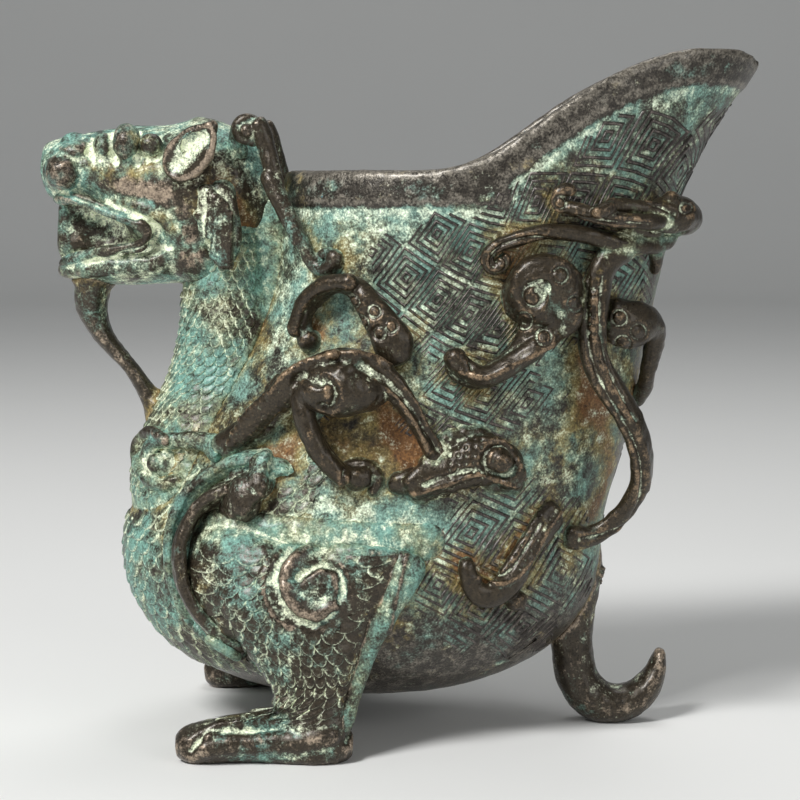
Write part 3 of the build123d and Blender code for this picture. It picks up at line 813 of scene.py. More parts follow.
def patina_group():
    """Bronze that has gone green in its hollows, ochre beside its ornaments and blue in specks."""
    tree = bpy.data.node_groups.new("buried_bronze", "ShaderNodeTree")
    face = tree.interface
    for name in ("Recess", "Crevice", "Green", "Mint", "Ochre", "Specks"):
        face.new_socket(name, in_out="INPUT", socket_type="NodeSocketFloat")
    for name in COLOURS:
        face.new_socket(name + " Colour", in_out="INPUT", socket_type="NodeSocketColor")
    face.new_socket("Colour", in_out="OUTPUT", socket_type="NodeSocketColor")
    for name in ("Roughness", "Metallic", "Height"):
        face.new_socket(name, in_out="OUTPUT", socket_type="NodeSocketFloat")
    given = tree.nodes.new("NodeGroupInput").outputs
    place = tree.nodes.new("ShaderNodeTexCoord").outputs["Object"]

    def cloud(scale, detail, rough, offset):
        """Noise about zero, moved so that no two clouds match."""
        shift = (offset, offset * 2, -offset)
        moved = add_node(tree, "ShaderNodeVectorMath", {0: place, 1: shift}, operation="ADD")
        noise_node = add_node(tree, "ShaderNodeTexNoise", {
            "Vector": moved.outputs[0], "Scale": scale, "Detail": detail, "Roughness": rough,
        })
        return math_node(tree, "MULTIPLY", math_node(tree, "SUBTRACT", noise_node.outputs[0], 0.5), 3.0)

    def weighed(*pairs):
        """Values added up, each times its weight."""
        total = 0.0
        for value, weight in pairs:
            total = math_node(tree, "MULTIPLY_ADD", value, weight, total)
        return total

    broad = cloud(scale=85, detail=5, rough=0.6, offset=0.0)
    middle = cloud(scale=420, detail=5, rough=0.65, offset=1.3)
    fine = cloud(scale=2300, detail=3, rough=0.6, offset=2.1)
    other = cloud(scale=150, detail=5, rough=0.65, offset=3.7)
    grit = cloud(scale=900, detail=4, rough=0.7, offset=4.9)
    green = ramp(tree, weighed(
        (given["Green"], 1.0), (given["Recess"], 0.25), (broad, 0.45), (middle, 0.35), (fine, 0.2)
    ), 0.25, 0.75)
    mint = ramp(tree, weighed(
        (given["Mint"], 1.0), (given["Recess"], 0.45), (middle, 0.4), (other, 0.4), (fine, 0.3), (grit, 0.2)
    ), 0.42, 1.05)
    ochre = ramp(tree, weighed(
        (given["Crevice"], 0.75), (given["Ochre"], 1.0), (other, 0.75), (middle, 0.25), (grit, 0.25)
    ), 0.45, 1.15)
    specks = ramp(tree, weighed((given["Specks"], 1.0), (grit, 0.7), (broad, 0.5)), 0.75, 1.0)
    # Worn colour where the surface is proud: rubbed bronze, partly a painted highlight.
    worn = ramp(tree, weighed((given["Recess"], -0.8), (middle, 0.3), (fine, 0.3), (grit, 0.2)), 0.35, 1.0)
    rust = ramp(tree, weighed((given["Crevice"], 1.0), (middle, 0.25)), 0.85, 1.25)
    olive = ramp(tree, weighed((other, 0.8), (broad, -0.6), (given["Crevice"], 0.5)), -0.3, 0.7)
    patina = mixed(tree, olive, given["Verdigris Colour"], given["Olive Colour"])
    coat = mixed(tree, green, given["Bronze Colour"], patina)
    coat = mixed(tree, worn, coat, given["Worn Colour"])
    earth = mixed(tree, rust, given["Ochre Colour"], given["Rust Colour"])
    coat = mixed(tree, weighed((ochre, 0.85)), coat, earth)
    coat = mixed(tree, mint, coat, given["Mint Colour"])
    coat = mixed(tree, specks, coat, given["Speck Colour"])
    covered = math_node(
        tree, "MAXIMUM", math_node(tree, "MAXIMUM", green, mint), math_node(tree, "MAXIMUM", ochre, specks)
    )
    shade = ramp(tree, weighed((fine, 0.6), (grit, 0.5), (middle, 0.3), (given["Recess"], 0.1)), -0.8, 0.8)
    grain = mixed(tree, shade, (0.25, 0.24, 0.23, 1), (1.75, 1.75, 1.7, 1))
    grainy = mixed(tree, 1.0, coat, grain, "MULTIPLY")
    coat = mixed(tree, weighed((covered, 0.2), (1.0, 0.8)), coat, grainy)
    uneven = weighed((middle, 0.4), (fine, 0.35), (grit, 0.45))
    add_node(tree, "NodeGroupOutput", {
        "Colour": coat,
        "Roughness": weighed((covered, 0.28), (fine, 0.10), (1.0, 0.32)),
        "Metallic": weighed((covered, -0.4), (1.0, 0.4)),
        "Height": math_node(tree, "MULTIPLY", uneven, weighed((covered, 0.65), (1.0, 0.35))),
    })
    return tree


def bronze_finish(name, finish):
    """A bronze with its own colours and shares of patina."""
    material = bpy.data.materials.new(name)
    material.use_nodes = True
    tree = material.node_tree
    shader = tree.nodes["Principled BSDF"]
    shader.inputs["Specular IOR Level"].default_value = 0.4
    shader.inputs["Coat Weight"].default_value = 0.2
    shader.inputs["Coat Roughness"].default_value = 0.2
    group = bpy.data.node_groups.get("buried_bronze") or patina_group()
    patina = add_node(tree, "ShaderNodeGroup", node_tree=group)
    for key in ("Recess", "Crevice", "Green"):
        mark = add_node(tree, "ShaderNodeAttribute", attribute_name=key.lower())
        tree.links.new(mark.outputs["Fac"], patina.inputs[key])
    for key in ("Mint", "Ochre", "Specks"):
        patina.inputs[key].default_value = getattr(finish, key.lower())
    for key in COLOURS:
        patina.inputs[key + " Colour"].default_value = (*getattr(finish, key.lower() + "_colour"), 1)
    bump = add_node(tree, "ShaderNodeBump", {
        "Height": patina.outputs["Height"],
        "Strength": 0.55,
        "Distance": 0.0004,
    })
    for socket, value in (
        ("Base Color", patina.outputs["Colour"]), ("Roughness", patina.outputs["Roughness"]),
        ("Metallic", patina.outputs["Metallic"]), ("Normal", bump.outputs["Normal"]),
    ):
        tree.links.new(value, shader.inputs[socket])
    return material


def finish_named(key):
    """The material of one of the panel's finishes, made once."""
    name = "patinated_" + key
    return bpy.data.materials.get(name) or bronze_finish(name, getattr(settings(), key))


# Settings that a user would change


def share(name, description, default):
    return FloatProperty(name=name, description=description, default=default, min=-1, max=1, subtype="FACTOR")


def colour(name, description, default):
    return FloatVectorProperty(
        name=name, description=description, default=default, size=3, min=0, max=1, subtype="COLOR"
    )


def length(name, description, default):
    return FloatProperty(name=name, description=description, default=default, min=0, unit="LENGTH")


def finish_group(name, words, shares, colours):
    """Settings of one finish: its shares of patina and its colours."""
    green, mint, ochre, specks = shares
    bronze, worn, verdigris, olive, bloom = colours
    return type(name, (bpy.types.PropertyGroup,), {
        "__doc__": words,
        "__annotations__": {
            "green": share("Green", "How much of the bronze has gone green", green),
            "mint": share("Mint", "How much pale bloom lies on it", mint),
            "ochre": share("Ochre", "How much earth stays on it", ochre),
            "specks": share("Specks", "How many blue specks it has", specks),
            "bronze_colour": colour("Bronze", "Dark bronze", bronze),
            # The worn colour is rubbed bronze and partly a painted highlight.
            "worn_colour": colour("Worn bronze", "Bronze rubbed on its high places, with painted highlight", worn),
            "verdigris_colour": colour("Verdigris", "Blue-green patina", verdigris),
            "olive_colour": colour("Olive", "Yellow-green patina", olive),
            "mint_colour": colour("Mint bloom", "Pale patina", bloom),
            "ochre_colour": colour("Ochre", "Earth beside the ornaments", (0.33, 0.25, 0.08)),
            "rust_colour": colour("Rust", "Earth in the deepest hollows", (0.25, 0.11, 0.03)),
            "speck_colour": colour("Blue specks", "Blue patina", (0.03, 0.14, 0.18)),
        },
    })


# The second colour of each finish is its worn one: rubbed bronze, partly a painted highlight.
CupFinish = finish_group(
    "CupFinish", "Patina of the cup's wall.", (0.56, 0.45, 0.20, 0.28),
    ((0.050, 0.043, 0.035), (0.20, 0.18, 0.15), (0.19, 0.34, 0.29), (0.27, 0.30, 0.17), (0.66, 0.75, 0.60)),
)
LatticeFinish = finish_group(
    "LatticeFinish", "Patina of the ridges of the thunder pattern.", (0.26, 0.25, 0.10, 0.25),
    ((0.048, 0.040, 0.036), (0.16, 0.135, 0.12), (0.14, 0.22, 0.19), (0.20, 0.21, 0.13), (0.62, 0.70, 0.58)),
)
BeastFinish = finish_group(
    "BeastFinish", "Patina of the beast.", (0.50, 0.38, 0.08, 0.26),
    ((0.050, 0.039, 0.026), (0.36, 0.285, 0.215), (0.17, 0.34, 0.29), (0.27, 0.30, 0.17), (0.70, 0.75, 0.57)),
)
DragonFinish = finish_group(
    "DragonFinish", "Patina of the climbing dragons.", (0.12, 0.24, 0.06, 0.16),
    ((0.040, 0.030, 0.018), (0.26, 0.18, 0.11), (0.12, 0.19, 0.15), (0.19, 0.17, 0.07), (0.66, 0.72, 0.55)),
)


class CupSizes(bpy.types.PropertyGroup):
    """Sizes of the ornament."""

    thunder_pitch: length("Thunder squares", "From one square of the wall pattern to the next", 0.0116)
    neck_scale: length("Neck scales", "Width of a scale on the neck", 0.0027)
    breast_scale: length("Breast scales", "Width of a scale on the breast", 0.0038)
    leg_scale: length("Leg scales", "Width of a scale on the forelegs", 0.0036)


class CupSettings(bpy.types.PropertyGroup):
    """Everything on the panel."""

    cup_bronze: PointerProperty(type=CupFinish)
    lattice_bronze: PointerProperty(type=LatticeFinish)
    beast_bronze: PointerProperty(type=BeastFinish)
    dragon_bronze: PointerProperty(type=DragonFinish)
    sizes: PointerProperty(type=CupSizes)


def settings():
    return bpy.context.scene.bronze_cup


# Pieces


def place_mesh(name, mesh, nodes):
    """A finished piece on the cup's body."""
    mesh.transform(Matrix.Scale(MM, 4))
    piece = shown(name, mesh)
    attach(piece, BODY)
    if nodes:
        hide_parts(*nodes)


def place_skin(name, skin, slot, nodes):
    """A worked skin as a finished piece that stands for CAD nodes."""
    mesh = new_mesh(name, skin.points, skin.faces)
    mesh.shade_smooth()
    green = skin.marks["green"] + getattr(settings(), slot).green
    for key, values in {**skin.marks, "green": green}.items():
        add_values(mesh, key, values)
    mesh.materials.append(finish_named(slot))
    place_mesh(name, mesh, nodes)


def place_pair(name, skin, slot):
    """A piece on the left and its mirror image on the right."""
    place_skin("left_" + name, skin, slot, ["left_" + name])
    place_skin("right_" + name, skin.mirrored(), slot, ["right_" + name])


def place_pattern(name, mesh, finish, hosts, tone=0.0):
    """A laid pattern as a finished piece, marked by what it lies near apart from what carries it."""
    points = mesh_points(mesh)
    add_values(mesh, "crevice", crevice(points, hosts))
    add_values(mesh, "green", np.full(len(points), getattr(settings(), finish).green + tone))
    place_mesh(name, mesh, [])


def cast(names, hosts, grain=0.3, reach=1.4, swell=0.7, lumps=()):
    """A skin over CAD nodes and added lumps, welded to what carries it."""
    skin = recast(names, grain, lumps=lumps)
    for host in hosts:
        weld(skin, host, reach, swell)
    skin.smooth(2)
    return skin


def finished(skin, names, seed, depth=0.05):
    """A worked skin with its age and the marks that its patina follows."""
    age(skin, seed, depth)
    skin.mark_recess()
    skin.marks["crevice"] = crevice(skin.points, names)
    skin.marks["green"] = np.zeros(len(skin.points))
    return skin


def bloom_at_foot(skin, amount):
    """Let bloom and a little earth climb from the wall that a dark ornament stands on."""
    foot = skin.marks["crevice"] ** FOOT_STEEPNESS
    skin.marks["recess"] = skin.marks["recess"] * (1 - foot) + amount * foot
    skin.marks["green"] = skin.marks["green"] + FOOT_GREEN * amount * foot
    skin.marks["crevice"] = FOOT_EARTH * skin.marks["crevice"]


# The cup. Stains, some of them painted shade, are a mark, a line in the picture, its width in millimetres and
# what it adds.

CUP_SECTIONS = (14.0, 108.0)
BAND_DEPTH = 8.0
# Painted shade under the belly: the height where it starts and how far it takes to deepen.
BELLY_SHADE_TOP = 32.0
BELLY_SHADE_FADE = 14.0
BETWEEN_LEGS = curved([(330, 420), (350, 440), (400, 440)])
BETWEEN_RIBS = curved([(245, 470), (215, 488), (190, 515), (176, 545), (178, 582), (192, 612), (215, 636)])
CUP_STAINS = {
    "earth behind the loop": ("crevice", curved([(590, 360), (600, 420), (610, 470), (595, 510)]), 5.0, 1.0),
    "earth over the loop": ("crevice", curved([(560, 450), (590, 400), (630, 400)]), 4.0, 0.7),
    "earth under the scroll": ("crevice", curved([(462, 556), (476, 576), (505, 562), (535, 528)]), 3.0, 0.8),
    "earth under the mantle": ("crevice", curved([(300, 436), (274, 458), (262, 480)]), 3.0, 0.8),
    "earth under the back": ("crevice", curved([(372, 392), (392, 420), (408, 450)]), 3.0, 0.8),
    "earth behind the neck": ("crevice", curved([(268, 300), (264, 350), (258, 400)]), 3.0, 0.5),
    "earth between the legs": ("crevice", BETWEEN_LEGS, 5.0, 0.7),
    "earth under the upper leg": ("crevice", curved([(315, 330), (345, 340)]), 4.0, 0.6),
    "earth under the horn": ("crevice", curved([(510, 270), (520, 250)]), 4.0, 0.6),
    # Painted shade under the side dragon's arch: dark bronze between its legs.
    "painted shade between the legs": ("green", BETWEEN_LEGS, 5.0, -0.4),
    "bloom on the side": ("recess", curved([(400, 230), (450, 250), (470, 310), (420, 300)]), 8.0, 0.25),
    "bloom behind the neck": ("recess", curved([(290, 210), (300, 280), (285, 340)]), 6.0, 0.25),
    "bloom between the ribs": ("recess", BETWEEN_RIBS, 2.4, 0.8),
    "bloom over the haunch": ("recess", curved([(300, 515), (340, 525), (390, 530), (430, 535)]), 5.0, 0.5),
}


def wall_bearings(points, middle):
    """Bearings in degrees of points round the cup, 0 at the rear and 180 in front, the same on both sides."""
    centres = np.array([middle(z)[0] for z in points[:, 2]])
    return np.degrees(np.arctan2(np.abs(points[:, 1]), points[:, 0] - centres))


def build_cup():
    """The cup, darker at its band and under its belly."""
    skin = finished(recast(["cup"], grain=0.96, rounds=4), ["cup"], seed=11, depth=0.03)
    keep_worked("worked_cup", skin)
    middle = section_middles(skin, *CUP_SECTIONS)
    bearings = np.linspace(0, 180, 61)
    rims = np.interp(wall_bearings(skin.points, middle), bearings, rim_heights(middle, bearings))
    band = np.clip(skin.points[:, 2] - rims + BAND_DEPTH, 0, 1)
    # Painted shade under the belly: towards the bottom the wall turns to dark bronze and loses its bloom.
    under = np.clip((BELLY_SHADE_TOP - skin.points[:, 2]) / BELLY_SHADE_FADE, 0, 1)
    skin.marks["green"] -= 0.20 * band + 0.30 * under
    skin.marks["recess"] -= 0.04 * band + 0.35 * under
    stain_all(skin, ["cup"], CUP_STAINS)
    place_skin("cup", skin, "cup_bronze", ["cup"])


# The lattice. Where it is clear or worn: a place in the picture, a width in millimetres and what it adds.

LATTICE_TURN = math.radians(31)
LATTICE_FOOT = 17.0
SQUARE_GAP = 1.5
LATTICE_BELOW_RIM = 8.2
LATTICE_WEAR = {
    "clear on the side": ((440, 265), 17.0, 0.8),
    "clear under the lip": ((630, 130), 24.0, 0.8),
    "clear on the belly": ((500, 600), 15.0, 0.75),
    "clear before the rear dragon": ((480, 400), 10.0, 0.4),
    "worn between the side dragon's legs": ((360, 440), 9.0, -0.6),
    "worn behind the loop": ((590, 430), 12.0, -0.4),
    "gone over the haunch": ((325, 508), 9.0, -1.4),
}


def build_lattice():
    """The thunder pattern, worn away in front and under the belly."""
    pitch = settings().sizes.thunder_pitch / MM
    square = thunder_motif(pitch - SQUARE_GAP, lines=4, ridge=0.72, lift=0.5)
    bearings = np.linspace(-132, 132, 160)
    middle = section_middles(CASTS["cup"], *CUP_SECTIONS)
    tops = rim_heights(middle, bearings) - LATTICE_BELOW_RIM
    sheet = wrapped_sheet("worked_cup", middle, LATTICE_FOOT, tops, bearings, rows=70)
    sheet.wear(seed=5, level=0.24, rough=0.22)
    points = folded(sheet.seats.reshape(-1, 3))
    for spot, width, amount in LATTICE_WEAR.values():
        gaps = np.linalg.norm(points - laid(["cup"], [spot])[0], axis=1)
        sheet.relief += amount * np.exp(-((gaps / width) ** 2)).reshape(sheet.relief.shape)
    sheet.relief = np.clip(sheet.relief, 0, MOST_RELIEF)
    finish = finish_named("lattice_bronze")
    mesh = lay_pattern(
        "thunder_lattice", sheet, square, finish, across=pitch, along=pitch, turn=LATTICE_TURN, sink=0.2
    )
    place_pattern("thunder_lattice", mesh, "lattice_bronze", ["cup"])


# The neck and the scales

NECK_BACK = np.linspace((-30.5, 0, 82), (-28.5, 0, 109), 14)
NECK_BACK_RADII = (5.5, 7.5, 6.0)
HAUNCH_BOSS = (311, 590)
HAUNCH_BOSS_REACH = 8.6
BESIDE_BREAST = (
    "breast_scroll", "foreleg", "wing_rib_outer", "wing_rib_inner", "wing_bud", "side_dragon_torso",
)


def build_neck():
    """The neck, filled in behind towards the cup."""
    fill = [ball(place, NECK_BACK_RADII) for place in NECK_BACK]
    skin = cast(["neck"], ["cup"], grain=0.5, reach=5.0, swell=2.0, lumps=fill)
    skin = finished(skin, ["neck"], seed=21)
    keep_worked("worked_neck", skin)
    bloom_at_foot(skin, 0.6)
    skin.marks["green"] += 0.12
    skin.marks["recess"] = np.maximum(skin.marks["recess"], -0.3)
    place_skin("neck", skin, "beast_bronze", ["neck"])


def scaly_sheet(name, node, sections, bearings, low, top, rows):
    """A sheet for scales round a worked skin, from one height to another."""
    middle = section_middles(CASTS[node], *sections)
    return wrapped_sheet(name, middle, low, np.full(len(bearings), top), bearings, rows)


def lay_scales(name, sheet, width, lift, hosts, tone=0.0):
    """Scales in overlapping staggered rows."""
    scale = scale_motif(width * 1.08, width * 1.1, lift)
    finish = finish_named("beast_bronze")
    mesh = lay_pattern(
        name, sheet, scale, finish, across=width, along=width * 0.8, stagger=0.5, sink=lift * 0.2
    )
    place_pattern(name, mesh, "beast_bronze", hosts, tone)


def build_scales():
    """Scales of the neck, the breast and the legs."""
    sizes = settings().sizes
    bearings = np.linspace(60, 300, 120)
    sheet = scaly_sheet("worked_neck", "neck", (52.0, 108.0), bearings, low=50.0, top=110.0, rows=50)
    keep_clear(sheet, ["cup", "head", "lower_jaw", "beard_strut"], 0.8)
    sheet.wear(seed=6, level=0.95, rough=0.15)
    lay_scales("neck_scales", sheet, sizes.neck_scale / MM, 0.5, ["neck", "cup"], 0.12)
    bearings = np.linspace(112, 248, 110)
    sheet = scaly_sheet("worked_cup", "cup", CUP_SECTIONS, bearings, low=14.0, top=62.0, rows=45)
    beside = [side + "_" + key for side in ("left", "right") for key in BESIDE_BREAST]
    keep_clear(sheet, ["neck", "beard_strut"] + beside, 0.8)
    sheet.wear(seed=7, level=0.95, rough=0.12)
    lay_scales("breast_scales", sheet, sizes.breast_scale / MM, 0.6, ["cup"])
    bearings = np.linspace(10, 190, 90)
    foreleg = "left_foreleg"
    sheet = scaly_sheet("worked_foreleg", foreleg, (8.0, 47.0), bearings, low=8.0, top=42.5, rows=48)
    keep_clear(sheet, ["cup", "left_leg_fin", "left_wing_rib_inner"], 0.6)
    boss = laid([foreleg], [HAUNCH_BOSS])[0]
    sheet.keep[np.linalg.norm(sheet.seats - boss, axis=2) < HAUNCH_BOSS_REACH] = 0.0
    sheet.wear(seed=8, level=0.98, rough=0.1)
    width = sizes.leg_scale / MM
    for name, side in (("left_leg_scales", sheet), ("right_leg_scales", sheet.mirrored())):
        lay_scales(name, side, width, 0.6, [foreleg, "cup"], -0.16)


# The head. Lumps are a place in the picture, radii and a lift; strokes a line, its width and its height.

HEAD_NODES = ["head", "lower_jaw", "left_lip", "right_lip"]
HEAD_LUMPS = {
    "nose": ((65, 172), (4.0, 5.0, 4.0), -2.4),
    "bridge of the nose": ((75, 146), (4.6, 4.2, 2.7), -2.0),
    "front brow": ((102, 149), (2.5, 3.4, 3.0), -1.4),
    "brow": ((124, 145), (3.1, 4.4, 4.2), -1.8),
}
JOWL_LUMPS = [((-42.5, -6.5, 106.0), (7.5, 6.4, 9.0)), ((-42.0, -6.8, 101.0), (7.5, 5.7, 6.0))]
OUTER_LIP = [(112, 204), (150, 212), (169, 227), (171, 247), (155, 260), (118, 265)]
LIP_AT_CHIN = (82, 272)
MOUTH = curved([(80, 214), (100, 222), (124, 232), (100, 238), (78, 232)])
MOUTH_EDGE = curved([(125, 209), (148, 219), (158, 230), (150, 244), (122, 254), (88, 264)])
BEHIND_CHEEK = curved([(216, 190), (232, 205), (245, 222)])
HEAD_STROKES = {
    "palate": (curved([(80, 212), (98, 220), (118, 228)]), 2.8, -2.0),
    "hollow of the tongue": (curved([(72, 230), (88, 234), (104, 237)]), 2.4, -1.4),
    "edge of the upper lip": (curved([(60, 190), (80, 201), (110, 211), (136, 218)]), 0.7, -0.5),
    "edge of the mouth": (MOUTH_EDGE, 0.8, -0.7),
    "between the brows": (curved([(112, 134), (112, 150), (116, 164)]), 0.7, -0.7),
    "before the eye": (curved([(139, 131), (141, 148), (137, 164)]), 0.7, -0.7),
    "behind the eye": (curved([(160, 136), (163, 147), (158, 158), (148, 160)]), 0.7, -0.7),
    "before the front brow": (curved([(92, 138), (89, 150), (93, 162)]), 0.7, -0.7),
    "over the nose": (curved([(60, 154), (75, 158), (90, 150)]), 0.7, -0.7),
}
HEAD_STAINS = {
    "bloom on the face": ("recess", curved([(60, 140), (90, 165), (130, 176), (160, 180)]), 5.0, 0.35),
    "bloom on the lip": ("recess", curved(OUTER_LIP), 2.2, 0.6),
    # The dark inside of the mouth is painted shade: dark bronze with no bloom.
    "painted shade in the mouth": ("green", MOUTH, 3.2, -0.3),
    "painted shade without bloom in the mouth": ("recess", MOUTH, 3.2, -0.75),
    # Nose, brow, cheek and bridge take the worn colour: rubbed bronze and a painted highlight on the head's
    # high places.
    "rubbed and painted highlight on the nose": ("recess", curved([(64, 170), (65, 178)]), 4.2, -0.8),
    "rubbed and painted highlight on the brow": ("recess", curved([(124, 140), (125, 152)]), 2.4, -1.0),
    "rubbed and painted highlight on the cheek": ("recess", curved([(104, 184), (130, 186), (158, 192)]), 3.0, -1.0),
    "rubbed and painted highlight on the bridge of the nose": ("recess", curved([(62, 150), (78, 146)]), 3.0, -0.7),
    "earth over the cheek": ("crevice", curved([(84, 160), (100, 174), (120, 172), (150, 170)]), 2.2, 0.7),
    "earth on the lip": ("crevice", curved([(100, 200), (140, 210), (172, 226), (176, 244)]), 2.0, 0.8),
    # Behind the cheek frill, rust-brown earth and dark bronze are partly real earth and partly painted shade
    # in the hollow.
    "earth and painted shade behind the cheek": ("crevice", BEHIND_CHEEK, 5.0, 0.9),
    "painted shade behind the cheek": ("green", BEHIND_CHEEK, 6.0, -0.6),
}
JOWL = curved([(130, 190), (165, 198), (186, 222), (190, 255)])
EAR = [
    (209, 126), (213, 138), (209, 156), (197, 171), (182, 178), (170, 173), (166, 160), (173, 145),
    (190, 131),
]
EAR_RIM = curved(EAR + EAR[:1])
EAR_DISH = curved([(200, 136), (188, 150), (177, 165)])
FRILL = [(202, 187), (215, 195), (228, 212), (231, 235), (228, 266), (216, 258), (205, 245), (200, 215)]
FRILL_BLOOM = curved([(208, 195), (214, 250)])
LOCK_CURL = spiral(247, 130, 12, 8, -60, 1.15)
LOCK_CURL_MIDDLE = [(247, 131)]
LOCK_STRAND = curved([(250, 145), (268, 184), (283, 211), (295, 241)])
LOCK_KNOB = spiral(330, 262, 9, 9, 90, 0.9)
GROWTH_STROKES = {
    "cheek_frill": (curved([(208, 195), (212, 225), (214, 250)]), 1.2, -0.7),
    "mane_lock": (curved([(240, 150), (272, 200), (290, 245), (305, 272)]), 0.6, -0.4),
}
GROWTH_HOSTS = {
    "eye": ["head"],
    "ear": ["head"],
    "cheek_frill": ["head", "neck"],
    "mane_lock": ["head", "cup"],
}


def build_skull():
    """The head with its jaw and lips as one casting."""
    lumps = paired(
        lumps_at(HEAD_NODES, HEAD_LUMPS)
        + rope(laid(HEAD_NODES, curved(OUTER_LIP + [LIP_AT_CHIN]), -1.3), 2.1)
        + [ball(place, radii) for place, radii in JOWL_LUMPS]
    )
    skin = cast(HEAD_NODES, ["neck", "cup"], grain=0.42, lumps=lumps)
    skin.smooth(6)
    draw_all(skin, HEAD_NODES, HEAD_STROKES)
    skin = finished(skin, HEAD_NODES, seed=31)
    skin.marks["crevice"] *= 0.5
    skin.marks["recess"] += 0.42
    stain_all(skin, HEAD_NODES, HEAD_STAINS)
    # The jowl takes the worn colour without bloom: rubbed bronze and a painted highlight.
    skin.marks["recess"] -= 0.95 * spanned(skin, hung(JOWL, -12.0, -12.5), 4.2)
    place_skin("head", skin, "beast_bronze", HEAD_NODES)


def build_beard():
    """The strut from the chin to the breast."""
    skin = cast(["beard_strut"], ["neck", "cup", "lower_jaw"], grain=0.35, reach=2.0, swell=1.2)
    skin = finished(skin, ["beard_strut"], seed=33)
    skin.marks["green"] -= 0.2
    place_skin("beard_strut", skin, "beast_bronze", ["beard_strut"])


def build_growths():
    """Eyes, ears, cheek frills and mane locks."""
    shapes = {
        "eye": [],
        "ear": rope(hung(EAR_RIM, -13.0, -17.2), 0.95) + rope(hung(spread(EAR, 3.0), -12.9, -17.1), 1.2),
        "cheek_frill": rope(laid(["head", "neck", "left_cheek_frill"], spread(FRILL), 0.4), 1.2),
        "mane_lock": rope(hung(LOCK_CURL, -12.0, -12.0), 1.3)
        + rope(laid(["left_mane_lock"], LOCK_STRAND, -0.9), 2.0, 1.6)
        + rope(hung(LOCK_CURL_MIDDLE, -13.0, -13.0), 1.6)
        + rope(laid(["cup"], LOCK_KNOB, 0.6), 1.1),
    }
    for count, (name, lumps) in enumerate(shapes.items()):
        nodes = ["left_" + name]
        skin = cast(nodes, GROWTH_HOSTS[name], grain=0.28, reach=1.0, swell=0.4, lumps=lumps)
        if name == "ear":
            skin.smooth(8)
            skin.press(-1.5 * spanned(skin, hung(EAR_DISH, -14.0, -17.6), 2.2))
        if name in GROWTH_STROKES:
            draw(skin, nodes, *GROWTH_STROKES[name])
        skin = finished(skin, nodes, seed=34 + count, depth=0.03)
        bloom_at_foot(skin, 0.5)
        skin.marks["green"] -= 0.15
        if name == "ear":
            skin.marks["recess"] += 1.1 * spanned(skin, hung(EAR_DISH, -13.4, -16.6), 2.9)
            # The ear's rim takes the worn colour: rubbed bronze and a painted highlight.
            skin.marks["recess"] -= 1.2 * spanned(skin, hung(EAR_RIM, -13.8, -18.0), 0.9)
        if name == "cheek_frill":
            stain(skin, "recess", nodes, FRILL_BLOOM, 3.0, 0.7)
        place_pair(name, skin, "beast_bronze")


def build_head():
    """The head and what grows on it."""
    build_skull()
    build_beard()
    build_growths()


# The wings and the breast

RIB_OUTER = curved([
    (262, 459), (230, 463), (201, 480), (179, 506), (169, 540), (172, 580), (186, 612), (208, 637),
    (236, 656),
])
RIB_INNER = curved([
    (226, 490), (205, 500), (189, 520), (180, 548), (183, 584), (197, 612), (216, 632), (240, 648),
])
BUD = [
    (270, 455), (267, 474), (257, 493), (243, 510), (231, 515), (225, 504), (229, 488), (240, 471),
    (254, 460),
]
BUD_LOBE = (238, 500)
BUD_FOLD = curved([(226, 491), (240, 491), (254, 492)])
BUD_TIP = (268, 458)
BUD_TONGUE = [(278, 467), (288, 468), (298, 470)]
BREAST_SCROLL = curved([(166, 441), (150, 432), (138, 444), (137, 462), (146, 478), (163, 485), (178, 480)])
BREAST_BEAD = (158, 464)
BREAST_BEAD_DARK = [BREAST_BEAD, (159, 465)]
WING_TONES = {"breast_scroll": -0.05, "wing_rib_outer": 0.1, "wing_rib_inner": -0.25, "wing_bud": -0.35}


def build_wings():
    """The folded wings and the breast scrolls."""
    wing = ["cup", "left_wing_rib_outer", "left_wing_rib_inner", "left_foreleg"]
    breast = ["neck", "cup", "left_breast_scroll"]
    shapes = {
        "breast_scroll": rope(laid(breast, BREAST_SCROLL, 0.2), 1.2) + lump(breast, BREAST_BEAD, 2.0, 0.6),
        "wing_rib_outer": rope(laid(wing, RIB_OUTER, 0.2), 1.1),
        "wing_rib_inner": rope(laid(wing, RIB_INNER, 0.2), 1.3),
        "wing_bud": rope(laid(["cup", "left_wing_bud"], spread(BUD, 3.0), 0.4), 1.6)
        + lump(["cup"], BUD_LOBE, (3.2, 4.2, 3.4), 0.4),
    }
    for count, (name, lumps) in enumerate(shapes.items()):
        nodes = ["left_" + name]
        hosts = ["cup", "neck"] if name == "breast_scroll" else ["cup"]
        skin = cast(nodes, hosts, grain=0.28, lumps=lumps)
        if name == "wing_bud":
            skin.press(-0.8 * spanned(skin, laid(["cup"], BUD_FOLD, 3.0), 0.7))
            draw(skin, nodes, BUD_TONGUE, 2.6, -1.8)
        skin = finished(skin, nodes, seed=41 + count)
        bloom_at_foot(skin, 0.6)
        skin.marks["green"] += WING_TONES[name]
        if name == "breast_scroll":
            stain(skin, "green", nodes, BREAST_BEAD_DARK, 1.8, -0.9)
            stain(skin, "recess", nodes, ring(*BREAST_BEAD, 3.0), 0.9, 0.9)
        if name == "wing_bud":
            stain(skin, "green", nodes, [BUD_TIP] + BUD_TONGUE, 3.0, 0.7)
        place_pair(name, skin, "beast_bronze")


# The legs

